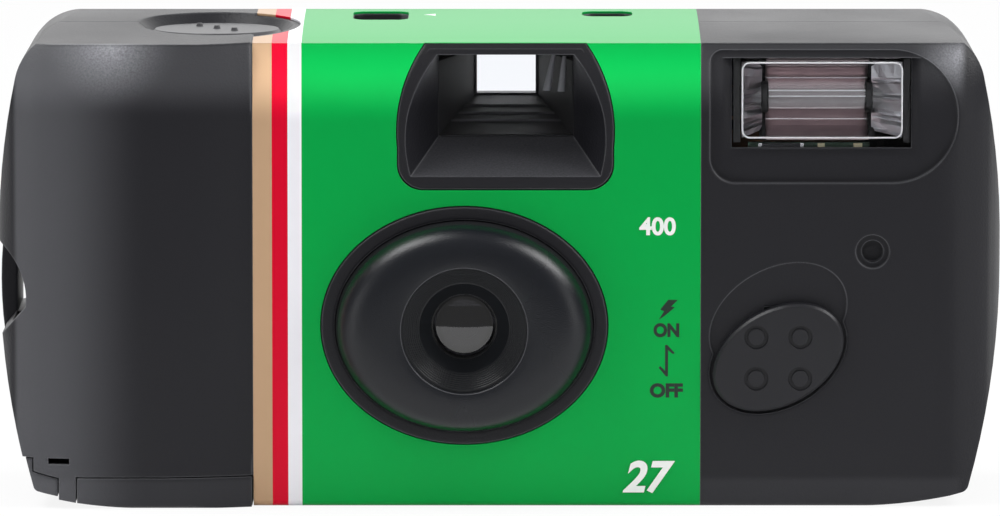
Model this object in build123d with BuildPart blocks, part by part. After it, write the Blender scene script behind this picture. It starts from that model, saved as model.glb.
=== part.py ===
from build123d import *
from math import atan2, cos, degrees, hypot, pi, sin
import os

# Disposable film camera with a built-in flash, in millimetres. It stands on z = 0 with its
# middle on x = 0. +X is to the right seen from the front, +Z is up and the lens faces -Y.

# Body outline seen from the front
body_width = 110.0
body_height = 52.6
widest_z = 27.5
base_tuck = 3.8
base_run = 11.2
base_rise = 1.6
lift_share = 1 / 3
top_tuck = 3.5
base_half = body_width / 2 - base_tuck
base_flat_half = base_half - base_run
top_half = body_width / 2 - top_tuck
shoulder_r = 7.0
heel_r = 1.0

# Body profile seen from the side
face_y = -11.6
rear_y = 16.3
foot_lean = 0.4
foot_z = 6.0
lean_drop = 9.6
crease_lean = 0.7
crease_drop = 1.7
ridge_y = 2.0
ridge_drop = 0.5
lean_z = body_height - lean_drop
crease_z = body_height - crease_drop
ridge_z = body_height - ridge_drop
rear_top_r = 3.0
rear_base_r = 1.6
front_base_r = 0.8
corner_r = 8.0

# Hand grip in front of the film cartridge
grip_edge = 27.8
grip_top = 14.5
grip_edge_x = grip_edge - body_width / 2
grip_top_x = grip_top - body_width / 2
grip_depth = 2.0
grip_side_y = -11.4
grip_corner_r = 7.0

# Walls and clearances
wall = 1.2
sleeve_thickness = 0.25
fit_gap = 0.15
running_gap = 0.05
part_gap = 0.3
overrun = 2.0

# Lens axis
lens_x = -3.9
lens_z = 20.0

# Film, a standard 35 mm strip
film_width = 35.0
film_thickness = 0.14
film_gate_y = 14.3
film_curve_r = 200.0
frame_width = 36.0
frame_height = 24.0
perforation_pitch = 4.75
perforation_length = 1.98
perforation_height = 2.79
perforation_inset = 2.0
sprocket_teeth = 8
counter_teeth = 30

# Film cartridge and wheel
cartridge_x = -37.0
cartridge_y = 2.6
cartridge_r = 12.4
cartridge_height = 42.4
cartridge_low = 2.0
spool_r = 5.6
spool_rise = 3.6
wheel_r = 13.8
wheel_lift = 0.35
wheel_height = 3.5
film_centre_z = cartridge_low + cartridge_height / 2
wheel_z = cartridge_low + cartridge_height + wheel_lift
wheel_top = wheel_z + wheel_height
plate_lift = 0.3
top_plate_z = wheel_top + plate_lift
top_plate_height = 0.7

# Paper sleeve
sleeve_left = -27.0
sleeve_right = 21.9


def film_y(x):
    """Depth of the film at a place across the camera: the gate bends it gently."""
    return film_gate_y - film_curve_r + (film_curve_r**2 - (x - lens_x) ** 2) ** (1 / 2)


def across(y):
    """Plane across the depth at y, drawn on as seen from the front."""
    return Plane.XZ.offset(-y)


def block(x_low, x_high, y_low, y_high, z_low, z_high, mode=Mode.ADD):
    """Rectangular block between two corners."""
    with Locations(((x_low + x_high) / 2, (y_low + y_high) / 2, (z_low + z_high) / 2)):
        Box(x_high - x_low, y_high - y_low, z_high - z_low, mode=mode)


def post(x, y, z_low, z_high, radius, mode=Mode.ADD):
    """Upright cylinder."""
    with Locations((x, y, (z_low + z_high) / 2)):
        Cylinder(radius, z_high - z_low, mode=mode)


def boss(x, z, y_low, y_high, radius, mode=Mode.ADD):
    """Cylinder along the depth of the camera."""
    with Locations((x, (y_low + y_high) / 2, z)):
        Cylinder(radius, y_high - y_low, rotation=(90, 0, 0), mode=mode)


def save(part, name):
    """Label a finished piece and write it."""
    part.label = name
    export_step(part, "parts/" + name + ".step")


def front_outline(inset):
    """Outline from the front: bowed sides, round shoulders, and a base that lifts at its ends."""
    with BuildSketch() as outline:
        with BuildLine():
            base = Line((0, 0), (base_flat_half, 0))
            rise_x = (base_flat_half + base_half) / 2
            lift = ThreePointArc(base @ 1, (rise_x, lift_share * base_rise), (base_half, base_rise))
            side = ThreePointArc(lift @ 1, (body_width / 2, widest_z), (top_half, body_height))
            Line(side @ 1, (0, body_height))
            mirror(about=Plane.YZ)
        make_face()
        shoulders = outline.vertices().group_by(Axis.Y)[-1].filter_by(lambda v: abs(v.X) > wall)
        fillet(shoulders, shoulder_r)
        low_corners = outline.vertices().filter_by(lambda v: v.Y < foot_z)
        fillet(low_corners.filter_by(lambda v: abs(v.X) > base_half - wall / 2), heel_r)
        if inset:
            offset(amount=-inset, kind=Kind.INTERSECTION)
    return Plane.XZ * outline.sketch_local


def side_outline(front, inset):
    """Profile from the side: upright face, crease, roof that climbs to the back, round rear."""
    with BuildSketch() as outline:
        with BuildLine():
            base = Line((rear_y, 0), (front + foot_lean, 0))
            toe = Line(base @ 1, (front, foot_z))
            face = Line(toe @ 1, (front, lean_z))
            brow = Line(face @ 1, (front + crease_lean, crease_z))
            roof = ThreePointArc(brow @ 1, (ridge_y, ridge_z), (rear_y, body_height))
            Line(roof @ 1, base @ 0)
        make_face()
        fillet(outline.vertices().sort_by(Axis.Y)[-1], rear_top_r)
        fillet(outline.vertices().group_by(Axis.Y)[0].sort_by(Axis.X)[-1], rear_base_r)
        fillet(outline.vertices().group_by(Axis.Y)[0].sort_by(Axis.X)[0], front_base_r)
        if inset:
            offset(amount=-inset, kind=Kind.INTERSECTION)
    return Plane.YZ * outline.sketch_local


def plan_outline(inset):
    """Outline from above, without the grip."""
    with BuildSketch() as outline:
        with Locations((0, (face_y + rear_y) / 2)):
            RectangleRounded(body_width - 2 * inset, rear_y - face_y - 2 * inset, corner_r - inset)
    return outline.sketch


def grip_outline(inset):
    """Outline from above of the end that swells forward round the film cartridge."""
    side_x = -body_width / 2
    with BuildSketch() as outline:
        with BuildLine():
            swell = ThreePointArc(
                (grip_edge_x, face_y), (grip_top_x, face_y - grip_depth), (side_x, grip_side_y)
            )
            Line(swell @ 1, (side_x, rear_y))
            back = Line((side_x, rear_y), (grip_edge_x, rear_y))
            Line(back @ 1, swell @ 0)
        make_face()
        fillet(outline.vertices().group_by(Axis.X)[0], grip_corner_r)
        if inset:
            offset(amount=-inset, kind=Kind.INTERSECTION)
    return outline.sketch


def body_form(inset):
    """Solid of the whole body, with every face moved in by the inset."""
    with BuildPart() as form:
        extrude(side_outline(face_y, inset), amount=body_width, both=True)
        extrude(plan_outline(inset), amount=body_height, mode=Mode.INTERSECT)
        extrude(front_outline(inset), amount=body_width, both=True, mode=Mode.INTERSECT)
    with BuildPart() as grip:
        extrude(side_outline(face_y - grip_depth, inset), amount=body_width, both=True)
        extrude(grip_outline(inset), amount=body_height, mode=Mode.INTERSECT)
        extrude(front_outline(inset), amount=body_width, both=True, mode=Mode.INTERSECT)
    return form.part + grip.part


os.makedirs("parts", exist_ok=True)

outer_form = body_form(0)
inner_form = body_form(wall)
sleeve_form = body_form(sleeve_thickness)
part_y = ridge_y

# Sizes of what the covers open for
flange_half_width = 15.6
flange_half_height = 13.0
flange_rise = 0.3
bezel_half_width = 14.05
bezel_half_height = 11.5
bezel_seat = 0.6
holder_r = 6.4

hood_x = 0.6
hood_half_base = 11.7
hood_half_shoulder = 11.1
hood_half_top = 8.7
hood_waist_drop = 11.4
hood_waist_z = crease_z - hood_waist_drop
hood_shoulder_drop = 4.9
hood_shoulder_z = crease_z - hood_shoulder_drop
hood_base_drop = 15.9
hood_base_z = crease_z - hood_base_drop
hood_rim = 1.2
hood_wall = 0.8
finder_y = -5.0
finder_left = -6.7
finder_right = 8.0
finder_low_drop = 10.7
finder_low = crease_z - finder_low_drop
finder_high_drop = 1.6
finder_high = crease_z - finder_high_drop
hood_corner_r = 2.8

eyepiece_half_width = 3.55
eyepiece_low_drop = 7.7
eyepiece_low = crease_z - eyepiece_low_drop
eyepiece_high_drop = 3.0
eyepiece_high = crease_z - eyepiece_high_drop
eyepiece_x = 0.7
eyepiece_y = 11.9
eyepiece_rim = 1.4

flash_left = 22.9
flash_right = 50.0
flash_low_drop = 15.3
flash_low = crease_z - flash_low_drop
flash_high_drop = 0.7
flash_high = crease_z - flash_high_drop
flash_depth = 0.8
flash_end_r = 7.2
flash_corner_r = 1.4
flash_low_corner_r = 2.8
pocket_left = 25.3
pocket_right = 44.9
pocket_slope = 1.1
pocket_low_drop = 11.7
pocket_low = crease_z - pocket_low_drop
pocket_high_drop = 1.6
pocket_high = crease_z - pocket_high_drop
window_low_drop = 11.5
window_low = crease_z - window_low_drop
window_y = -10.3
window_back_y = -9.5

switch_x = 30.4
switch_z = 16.6
switch_half_length = 7.65
switch_half_width = 5.25
switch_tilt = 30.0
switch_travel = 4.0
switch_floor = 0.85
switch_gap = 0.4
slot_half_width = 1.6
slot_half_length = 1.4

pin_hole_x = 40.7
pin_hole_z = 28.1
pin_hole_r = 1.85
pin_hole_inner_r = 1.2
pin_hole_step = 0.6

button_x = -31.2
button_y = 0.8
button_r = 7.1
button_travel = 0.8
dish_r = 9.1
dish_depth = 1.2
dish_floor_z = ridge_z - dish_depth
dish_wall = 1.0

counter_x = -13.2
counter_y = 7.2
counter_width = 6.0
counter_depth = 7.0
lamp_x = 11.9
lamp_y = 8.6
lamp_width = 5.4
lamp_depth = 4.4
slot_corner_r = 1.4

strap_bar = 1.6
strap_gap = 1.6
strap_low = 20.0
strap_high = 28.2
strap_web = 0.65

door_reach = 9.4
door_left = cartridge_x - door_reach
door_right = sleeve_left
door_back = 13.2
door_lip_z = 3.5

wheel_slot_gap = 0.4


def hood_outline(grow, y):
    """Hood seen from the front: round low corners, upright sides that curve in to the crease."""
    low = hood_base_z - grow
    waist = hood_half_base + grow
    shoulder = hood_half_shoulder + grow
    head = hood_half_top + grow
    with BuildSketch(across(y)) as outline:
        with BuildLine():
            base = Line((hood_x - waist, low), (hood_x + waist, low))
            side = Line(base @ 1, (hood_x + waist, hood_waist_z))
            right = ThreePointArc(side @ 1, (hood_x + shoulder, hood_shoulder_z), (hood_x + head, crease_z))
            brow = Line(right @ 1, (hood_x - head, crease_z))
            left = ThreePointArc(
                brow @ 1, (hood_x - shoulder, hood_shoulder_z), (hood_x - waist, hood_waist_z)
            )
            Line(left @ 1, base @ 0)
        make_face()
        fillet(outline.vertices().group_by(Axis.Y)[0], hood_corner_r)
    return outline.sketch


def hood_solid(shrink, grow, front, back):
    """Funnel between the hood's mouth and the finder's frame."""
    mouth_low = hood_base_z + hood_rim - shrink
    mouth_high = crease_z - hood_rim + min(shrink, hood_rim / 2)
    half = hood_half_base - hood_rim + shrink
    shoulder = hood_half_shoulder - hood_rim + shrink
    head = hood_half_top - hood_rim + shrink
    with BuildPart() as funnel:
        with BuildSketch(across(front)):
            with BuildLine():
                base = Line((hood_x - half, mouth_low), (hood_x + half, mouth_low))
                right = ThreePointArc(
                    base @ 1, (hood_x + shoulder, hood_shoulder_z), (hood_x + head, mouth_high)
                )
                brow = Line(right @ 1, (hood_x - head, mouth_high))
                ThreePointArc(brow @ 1, (hood_x - shoulder, hood_shoulder_z), base @ 0)
            make_face()
        with BuildSketch(across(back)):
            with Locations(((finder_left + finder_right) / 2, (finder_low + finder_high) / 2)):
                Rectangle(
                    finder_right - finder_left + 2 * grow, finder_high - finder_low + 2 * grow
                )
        loft(ruled=True)
    return funnel.part


def flash_outline(y, grow):
    """Flash recess: square left end, nearly round right end, low edge that climbs a little."""
    with BuildSketch(across(y)) as outline:
        with Locations(((flash_left + flash_right) / 2, (flash_low + flash_high) / 2)):
            Rectangle(flash_right - flash_left, flash_high - flash_low)
        fillet(outline.vertices().group_by(Axis.X)[-1], flash_end_r)
        fillet(outline.vertices().group_by(Axis.X)[0].sort_by(Axis.Y)[-1], flash_corner_r)
        fillet(outline.vertices().group_by(Axis.X)[0].sort_by(Axis.Y)[0], flash_low_corner_r)
        if grow:
            offset(amount=grow)
    return outline.sketch


def top_hole(x, y, width, depth):
    """Round-cornered hole seen from above."""
    with BuildSketch(Plane.XY.offset(dish_floor_z - 2 * wall)) as outline:
        with Locations((x, y)):
            RectangleRounded(width, depth, slot_corner_r)
    return outline.sketch


def flange_outline(y):
    """Oval flange of the cover round the lens."""
    with BuildSketch(across(y)) as outline:
        with Locations((lens_x, lens_z)):
            Ellipse(flange_half_width, flange_half_height)
    return outline.sketch


# Band of the body that the paper sleeve wraps
with BuildPart() as band:
    add(outer_form)
    block(sleeve_left, sleeve_right, -body_width, body_width, -overrun, body_height, Mode.INTERSECT)
wrap_ring = band.part - sleeve_form

# Bottom lid under the film cartridge: floor and front lip are cut out of the shell
with BuildPart() as door_zone:
    block(door_left, door_right, -body_width, door_back, -overrun, door_lip_z)

with BuildPart() as cartridge_door:
    add(outer_form)
    block(
        door_left + fit_gap, door_right - fit_gap, -body_width, door_back - fit_gap,
        -overrun, door_lip_z - fit_gap, Mode.INTERSECT,
    )
    add(inner_form, mode=Mode.SUBTRACT)
save(cartridge_door.part, "cartridge_door")

# Both covers as one shell, with the recess that the sleeve lies in
with BuildPart() as shell:
    add(outer_form)
    add(wrap_ring, mode=Mode.SUBTRACT)
    add(inner_form, mode=Mode.SUBTRACT)
    add(door_zone.part, mode=Mode.SUBTRACT)
    post(
        cartridge_x, cartridge_y, cartridge_low - fit_gap, cartridge_low + cartridge_height,
        cartridge_r + part_gap, Mode.SUBTRACT,
    )
    post(
        cartridge_x, cartridge_y, wheel_z - fit_gap, wheel_top + fit_gap, wheel_r + fit_gap,
        Mode.SUBTRACT,
    )

# Holes that the two covers share on the top: the dish of the shutter button
with BuildPart() as dish_boss:
    post(button_x, button_y, dish_floor_z - dish_wall, body_height, dish_r + dish_wall)
    add(outer_form, mode=Mode.INTERSECT)
    add(wrap_ring, mode=Mode.SUBTRACT)
dish_top_z = ridge_z + sleeve_thickness
with BuildPart() as dish_cut:
    with BuildSketch(Plane.XY.offset(dish_floor_z)):
        with Locations((button_x, button_y)):
            Circle(button_r + part_gap)
    with BuildSketch(Plane.XY.offset(dish_top_z)):
        with Locations((button_x, button_y)):
            Circle(dish_r)
    loft()
    post(button_x, button_y, dish_top_z, body_height + overrun, dish_r)
    post(button_x, button_y, dish_floor_z - dish_wall - overrun, dish_floor_z, button_r + part_gap)

# Front cover
spigot_r = holder_r + part_gap
flange_y = face_y - flange_rise
bezel_y = flange_y + bezel_seat
flash_floor_y = face_y + flash_depth
pocket_wall = 0.8
pocket_mid_x = (pocket_left + pocket_right) / 2
pin_hole_floor = 0.4
switch_top_z = switch_z + switch_half_length + switch_travel
recess_angle = atan2(switch_floor, 2 * switch_half_length + switch_travel)
recess_plane = Plane(
    origin=(0, face_y, switch_top_z),
    x_dir=(1, 0, 0),
    z_dir=(0, -cos(recess_angle), -sin(recess_angle)),
)

with BuildPart() as hood_pad:
    extrude(hood_outline(0, face_y - flange_rise), amount=-(wall + flange_rise))
    add(outer_form, mode=Mode.INTERSECT)

foot_side_x = -51.2
foot_end_x = -48.4
foot_step_z = 5.4
foot_side_z = 3.9
foot_end_z = 3.2
latch_x = -48.25
latch_z = 5.2
latch_width = 2.3
latch_height = 0.65
pin_pad_r = 2.5
pin_pad_y = -9.65
scoop_top_z = 29.0
scoop_bow_x = -52.45
scoop_bow_z = 26.0
scoop_deep_x = -51.85
scoop_deep_z = 22.0
scoop_low_z = 18.3
bar_bulge = 0.2
bar_low_z = 17.5
bar_high_z = 29.6
bar_depth = 8.0


def foot_outline(grow):
    """Corner at the lower end of the front cover where the rear cover's foot shows."""
    with BuildSketch(across(-body_width)) as outline:
        with BuildLine():
            Polyline(
                (-body_width, foot_step_z + grow),
                (foot_side_x + grow, foot_step_z + grow),
                (foot_side_x + grow, foot_side_z + grow),
                (foot_end_x + grow, foot_end_z + grow),
                (foot_end_x + grow, -overrun),
                (-body_width, -overrun),
                close=True,
            )
        make_face()
    return outline.sketch


with BuildPart() as foot:
    add(body_form(2 * fit_gap))
    extrude(foot_outline(0), amount=-2 * body_width, mode=Mode.INTERSECT)
    add(body_form(wall + 2 * fit_gap), mode=Mode.SUBTRACT)
    block(-body_width, 0, part_y + wall, body_width, -overrun, body_height, Mode.SUBTRACT)

with BuildPart() as front_cover:
    add(shell.part)
    add(dish_boss.part)
    add(hood_pad.part)
    # Hood of the viewfinder
    add(hood_solid(hood_wall, hood_wall, face_y + wall / 2, finder_y))
    # Oval flange and the pads behind the flash recess and the switch
    extrude(flange_outline(flange_y), amount=-(wall + flange_rise))
    extrude(flash_outline(flash_floor_y + wall, wall / 2), amount=flash_depth)
    with BuildSketch(across(window_y)):
        with Locations((pocket_mid_x, (pocket_low + pocket_high) / 2)):
            Rectangle(
                pocket_right - pocket_left + 2 * pocket_wall,
                pocket_high - pocket_low + 2 * pocket_wall,
            )
    extrude(amount=window_y - window_back_y)
    block(-body_width, body_width, part_y, body_width, -overrun, body_height + overrun, Mode.SUBTRACT)
    add(dish_cut.part, mode=Mode.SUBTRACT)
    # Mouth of the hood, through to the finder lens
    add(hood_solid(0, 0, face_y - flange_rise, finder_y), mode=Mode.SUBTRACT)
    # Seat of the lens bezel and the hole behind it
    with BuildSketch(across(bezel_y)):
        with Locations((lens_x, lens_z)):
            Ellipse(bezel_half_width + fit_gap, bezel_half_height + fit_gap)
    extrude(amount=overrun, mode=Mode.SUBTRACT)
    boss(lens_x, lens_z, bezel_y - overrun, face_y + wall + overrun, spigot_r, Mode.SUBTRACT)
    # Flash recess with its pocket and window opening
    extrude(flash_outline(flash_floor_y, 0), amount=overrun, mode=Mode.SUBTRACT)
    with BuildSketch(across(flash_floor_y)):
        with Locations((pocket_mid_x, (pocket_low - pocket_slope + pocket_high) / 2)):
            Rectangle(
                pocket_right - pocket_left + 2 * pocket_slope, pocket_high - pocket_low + pocket_slope
            )
    with BuildSketch(across(window_y)):
        with Locations((pocket_mid_x, (pocket_low + pocket_high) / 2)):
            Rectangle(pocket_right - pocket_left, pocket_high - pocket_low)
    loft(ruled=True, mode=Mode.SUBTRACT)
    block(
        pocket_left, pocket_right, window_y - overrun, overrun, window_low, pocket_high, Mode.SUBTRACT
    )
    # Oval track of the flash switch, deep at the low stop, with the slot for its stem
    with BuildSketch(recess_plane):
        with Locations(
            (switch_x, switch_z - switch_top_z), (switch_x, switch_z + switch_travel - switch_top_z)
        ):
            Ellipse(
                switch_half_length + switch_gap, switch_half_width + switch_gap, rotation=switch_tilt
            )
    extrude(amount=overrun, mode=Mode.SUBTRACT)
    block(
        switch_x - slot_half_width, switch_x + slot_half_width, face_y - overrun, face_y + wall + overrun,
        switch_z - slot_half_length, switch_z + slot_half_length + switch_travel, Mode.SUBTRACT,
    )
    # Scoop at the end of the body that opens the strap bar to the front
    with BuildSketch(across(-body_width)):
        with BuildLine():
            end_x = -body_width / 2
            edge = ThreePointArc(
                (end_x, scoop_top_z), (scoop_bow_x, scoop_bow_z), (scoop_deep_x, scoop_deep_z)
            )
            Polyline(
                edge @ 1, (end_x, scoop_low_z), (end_x - overrun, scoop_low_z),
                (end_x - overrun, scoop_top_z), edge @ 0,
            )
        make_face()
    extrude(amount=-2 * body_width, mode=Mode.SUBTRACT)
    # Corner that the foot fills, and the latch slot above it
    extrude(foot_outline(fit_gap), amount=-2 * body_width, mode=Mode.SUBTRACT)
    block(
        latch_x - latch_width / 2, latch_x + latch_width / 2, -body_width, 0,
        latch_z - latch_height / 2, latch_z + latch_height / 2, Mode.SUBTRACT,
    )
    # Small stepped hole, closed at its end
    boss(pin_hole_x, pin_hole_z, face_y + wall / 2, pin_pad_y, pin_pad_r)
    boss(pin_hole_x, pin_hole_z, face_y - overrun, face_y + pin_hole_step, pin_hole_r, Mode.SUBTRACT)
    boss(
        pin_hole_x, pin_hole_z, face_y - overrun, pin_pad_y - pin_hole_floor, pin_hole_inner_r,
        Mode.SUBTRACT,
    )
save(front_cover.part, "front_cover")

# Rear cover
strap_x = -body_width / 2 + strap_bar
strap_inner_x = strap_x + strap_gap + strap_web
wheel_y = cartridge_y
wheel_reach = (wheel_r**2 - (rear_y - wall - wheel_y) ** 2) ** (1 / 2)
thumb_r = 12.0
thumb_depth = 0.6
thumb_rise = 2.6
eyepiece_bevel = 1.0

with BuildPart() as strap_block:
    block(
        -body_width, strap_inner_x, part_y, body_width,
        strap_low - strap_bar, strap_high + strap_bar,
    )
    add(outer_form, mode=Mode.INTERSECT)
    with BuildSketch(across(part_y)):
        with BuildLine():
            end_x = -body_width / 2
            bow = ThreePointArc(
                (end_x + bar_bulge, bar_low_z), (end_x - bar_bulge, (bar_low_z + bar_high_z) / 2),
                (end_x + bar_bulge, bar_high_z),
            )
            Polyline(bow @ 1, (strap_x, bar_high_z), (strap_x, bar_low_z), bow @ 0)
        make_face()
    extrude(amount=-bar_depth)

with BuildPart() as rear_cover:
    add(shell.part)
    add(dish_boss.part)
    # Collar that carries the eyepiece lens
    block(
        eyepiece_x - eyepiece_half_width - eyepiece_rim,
        eyepiece_x + eyepiece_half_width + eyepiece_rim, eyepiece_y + eyepiece_rim, rear_y - wall / 2,
        eyepiece_low - eyepiece_rim, eyepiece_high + eyepiece_rim,
    )
    block(-body_width, body_width, -body_width, part_y, -overrun, body_height + overrun, Mode.SUBTRACT)
    add(dish_cut.part, mode=Mode.SUBTRACT)
    # Foot that shows at the lower end, and the strap bar at the end of the body
    add(foot.part)
    add(strap_block.part)
    block(
        strap_x, strap_x + strap_gap, part_y - overrun, body_width, strap_low, strap_high,
        Mode.SUBTRACT,
    )
    # Eyepiece, bevelled outwards
    block(
        eyepiece_x - eyepiece_half_width, eyepiece_x + eyepiece_half_width,
        eyepiece_y, rear_y + overrun, eyepiece_low, eyepiece_high, Mode.SUBTRACT,
    )
    with BuildSketch(across(rear_y - wall / 2)):
        with Locations((eyepiece_x, (eyepiece_low + eyepiece_high) / 2)):
            Rectangle(2 * eyepiece_half_width, eyepiece_high - eyepiece_low)
    with BuildSketch(across(rear_y + wall / 2)):
        with Locations((eyepiece_x, (eyepiece_low + eyepiece_high) / 2)):
            Rectangle(
                2 * (eyepiece_half_width + eyepiece_bevel),
                eyepiece_high - eyepiece_low + 2 * eyepiece_bevel,
            )
    loft(ruled=True, mode=Mode.SUBTRACT)
    # Counter window and lamp slot in the top
    counter_hole = top_hole(counter_x, counter_y, counter_width, counter_depth)
    extrude(counter_hole, amount=body_height, mode=Mode.SUBTRACT)
    lamp_hole = top_hole(lamp_x, lamp_y, lamp_width, lamp_depth)
    extrude(lamp_hole, amount=body_height, mode=Mode.SUBTRACT)
    # Thumb scoop and slot for the winding wheel
    post(
        cartridge_x, rear_y - thumb_depth + thumb_r, wheel_z - thumb_rise,
        wheel_z + wheel_height + thumb_rise, thumb_r, Mode.SUBTRACT,
    )
    block(
        cartridge_x - wheel_reach - wheel_slot_gap, cartridge_x + wheel_reach + wheel_slot_gap,
        rear_y - 2 * wall, rear_y + overrun, wheel_z - wheel_slot_gap,
        wheel_z + wheel_height + wheel_slot_gap, Mode.SUBTRACT,
    )
save(rear_cover.part, "rear_cover")

# Paper sleeve with its cut-outs
with BuildPart() as sleeve:
    add(wrap_ring)
    hood_hole = hood_outline(fit_gap, face_y - overrun)
    extrude(hood_hole, amount=face_y - finder_y - overrun, mode=Mode.SUBTRACT)
    with BuildSketch(across(face_y - overrun)):
        with Locations((lens_x, lens_z)):
            Ellipse(flange_half_width + fit_gap, flange_half_height + fit_gap)
    extrude(amount=-2 * overrun, mode=Mode.SUBTRACT)
    post(button_x, button_y, dish_floor_z - wall, body_height + overrun, dish_r + fit_gap, Mode.SUBTRACT)
    extrude(
        top_hole(counter_x, counter_y, counter_width + fit_gap, counter_depth + fit_gap),
        amount=body_height, mode=Mode.SUBTRACT,
    )
    extrude(
        top_hole(lamp_x, lamp_y, lamp_width + fit_gap, lamp_depth + fit_gap),
        amount=body_height, mode=Mode.SUBTRACT,
    )
    block(
        eyepiece_x - eyepiece_half_width - 2 * eyepiece_bevel,
        eyepiece_x + eyepiece_half_width + 2 * eyepiece_bevel, rear_y - overrun, rear_y + overrun,
        eyepiece_low - 2 * eyepiece_bevel, eyepiece_high + 2 * eyepiece_bevel, Mode.SUBTRACT,
    )
save(sleeve.part, "sleeve")

# Lens bezel: an oval dome that ends in a round rim, with fine steps down to the lens
rim_y = -17.0
rim_r = 7.8
mouth_r = 7.25
bore_r = 6.87
lip_depth = 0.5
ring_count = 4
ring_step = 0.5
ring_depth = 0.6
lens_mouth_r = 3.6
cone_y = -12.5
dome_steps = 5

with BuildPart() as lens_bezel:
    for step in range(dome_steps + 1):
        turn = step * pi / 2 / dome_steps
        with BuildSketch(across(bezel_y - (bezel_y - rim_y) * sin(turn))):
            with Locations((lens_x, lens_z)):
                Ellipse(
                    rim_r + (bezel_half_width - rim_r) * cos(turn),
                    rim_r + (bezel_half_height - rim_r) * cos(turn),
                )
    loft(ruled=True)
    with BuildSketch(Plane.XY.offset(lens_z)):
        with BuildLine():
            steps = [(lens_x + mouth_r, rim_y - overrun), (lens_x + mouth_r, rim_y)]
            for ring in range(ring_count):
                ring_r = bore_r - ring * ring_step
                ring_y = rim_y + lip_depth + ring * ring_depth
                steps += [(lens_x + ring_r, ring_y), (lens_x + ring_r, ring_y + ring_depth)]
            steps += [(lens_x + lens_mouth_r, cone_y), (lens_x + lens_mouth_r, bezel_y + overrun)]
            steps += [(lens_x, bezel_y + overrun), (lens_x, rim_y - overrun)]
            Polyline(*steps, close=True)
        make_face()
    revolve(axis=Axis((lens_x, 0, lens_z), (0, 1, 0)), mode=Mode.SUBTRACT)
save(lens_bezel.part, "lens_bezel")

# Taking lens: a meniscus with a flat rim
lens_front_y = -12.3
lens_rim_y = -11.2
lens_back_y = -10.4
lens_hollow = 0.4
lens_clear_r = 3.45
lens_back_r = 3.2
lens_r = 4.55

with BuildPart() as taking_lens:
    with BuildSketch(Plane.XY.offset(lens_z)):
        with BuildLine():
            front_sag = lens_rim_y - lens_front_y
            front_r = (lens_clear_r**2 + front_sag**2) / (2 * front_sag)
            back_r = (lens_back_r**2 + lens_hollow**2) / (2 * lens_hollow)
            front = RadiusArc((lens_x, lens_front_y), (lens_x + lens_clear_r, lens_rim_y), -front_r)
            rim = Polyline(
                front @ 1, (lens_x + lens_r, lens_rim_y), (lens_x + lens_r, lens_back_y),
                (lens_x + lens_back_r, lens_back_y),
            )
            back = RadiusArc(rim @ 1, (lens_x, lens_back_y - lens_hollow), back_r)
            Line(back @ 1, front @ 0)
        make_face()
    revolve(axis=Axis((lens_x, 0, lens_z), (0, 1, 0)))
save(taking_lens.part, "taking_lens")

# Shutter stack behind the lens
holder_front_y = -11.2
holder_floor_y = -10.3
holder_plate_y = -9.6
plate_thickness = 0.8
aperture_r = 1.6
aperture_cone_r = 3.0
blade_y = -8.4
blade_thickness = 0.3
shutter_plate_y = -7.6
shutter_hole_r = 2.2
shutter_left = -16.0
shutter_right = 4.8
shutter_low = 13.0
shutter_high = 31.0
shutter_corner_r = 2.0
pivot_x = -12.1
pivot_z = 27.2
pivot_r = 0.9
pillar_r = 1.2
pillar_inset = 1.7
blade_disc_r = 3.2
blade_hub_r = 1.8
blade_arm_width = 2.4
tab_width = 1.8
tab_top_z = 34.4


def shutter_outline(y):
    """Rounded plate outline that the lens holder and the shutter plate share."""
    with BuildSketch(across(y)) as outline:
        with Locations(((shutter_left + shutter_right) / 2, (shutter_low + shutter_high) / 2)):
            RectangleRounded(shutter_right - shutter_left, shutter_high - shutter_low, shutter_corner_r)
    return outline.sketch


with BuildPart() as lens_holder:
    extrude(shutter_outline(holder_plate_y), amount=-plate_thickness)
    boss(lens_x, lens_z, holder_front_y, holder_plate_y, holder_r)
    boss(lens_x, lens_z, holder_front_y - overrun, holder_floor_y, lens_r + running_gap, Mode.SUBTRACT)
    boss(lens_x, lens_z, holder_front_y, blade_y, aperture_r, Mode.SUBTRACT)
    with BuildSketch(across(holder_plate_y + plate_thickness)):
        with Locations((lens_x, lens_z)):
            Circle(aperture_cone_r)
    with BuildSketch(across(holder_plate_y)):
        with Locations((lens_x, lens_z)):
            Circle(aperture_r)
    loft(mode=Mode.SUBTRACT)
save(lens_holder.part, "lens_holder")

pillars = [
    (shutter_left + pillar_inset, shutter_low + pillar_inset),
    (shutter_right - pillar_inset, shutter_low + pillar_inset),
    (shutter_right - pillar_inset, shutter_high - pillar_inset),
]

with BuildPart() as shutter_plate:
    extrude(shutter_outline(shutter_plate_y), amount=-plate_thickness)
    for pillar_x, pillar_z in pillars:
        boss(pillar_x, pillar_z, holder_plate_y + plate_thickness, shutter_plate_y, pillar_r)
    boss(pivot_x, pivot_z, holder_plate_y + plate_thickness + running_gap, shutter_plate_y, pivot_r)
    boss(lens_x, lens_z, blade_y, shutter_plate_y + overrun, shutter_hole_r, Mode.SUBTRACT)
save(shutter_plate.part, "shutter_plate")

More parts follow.
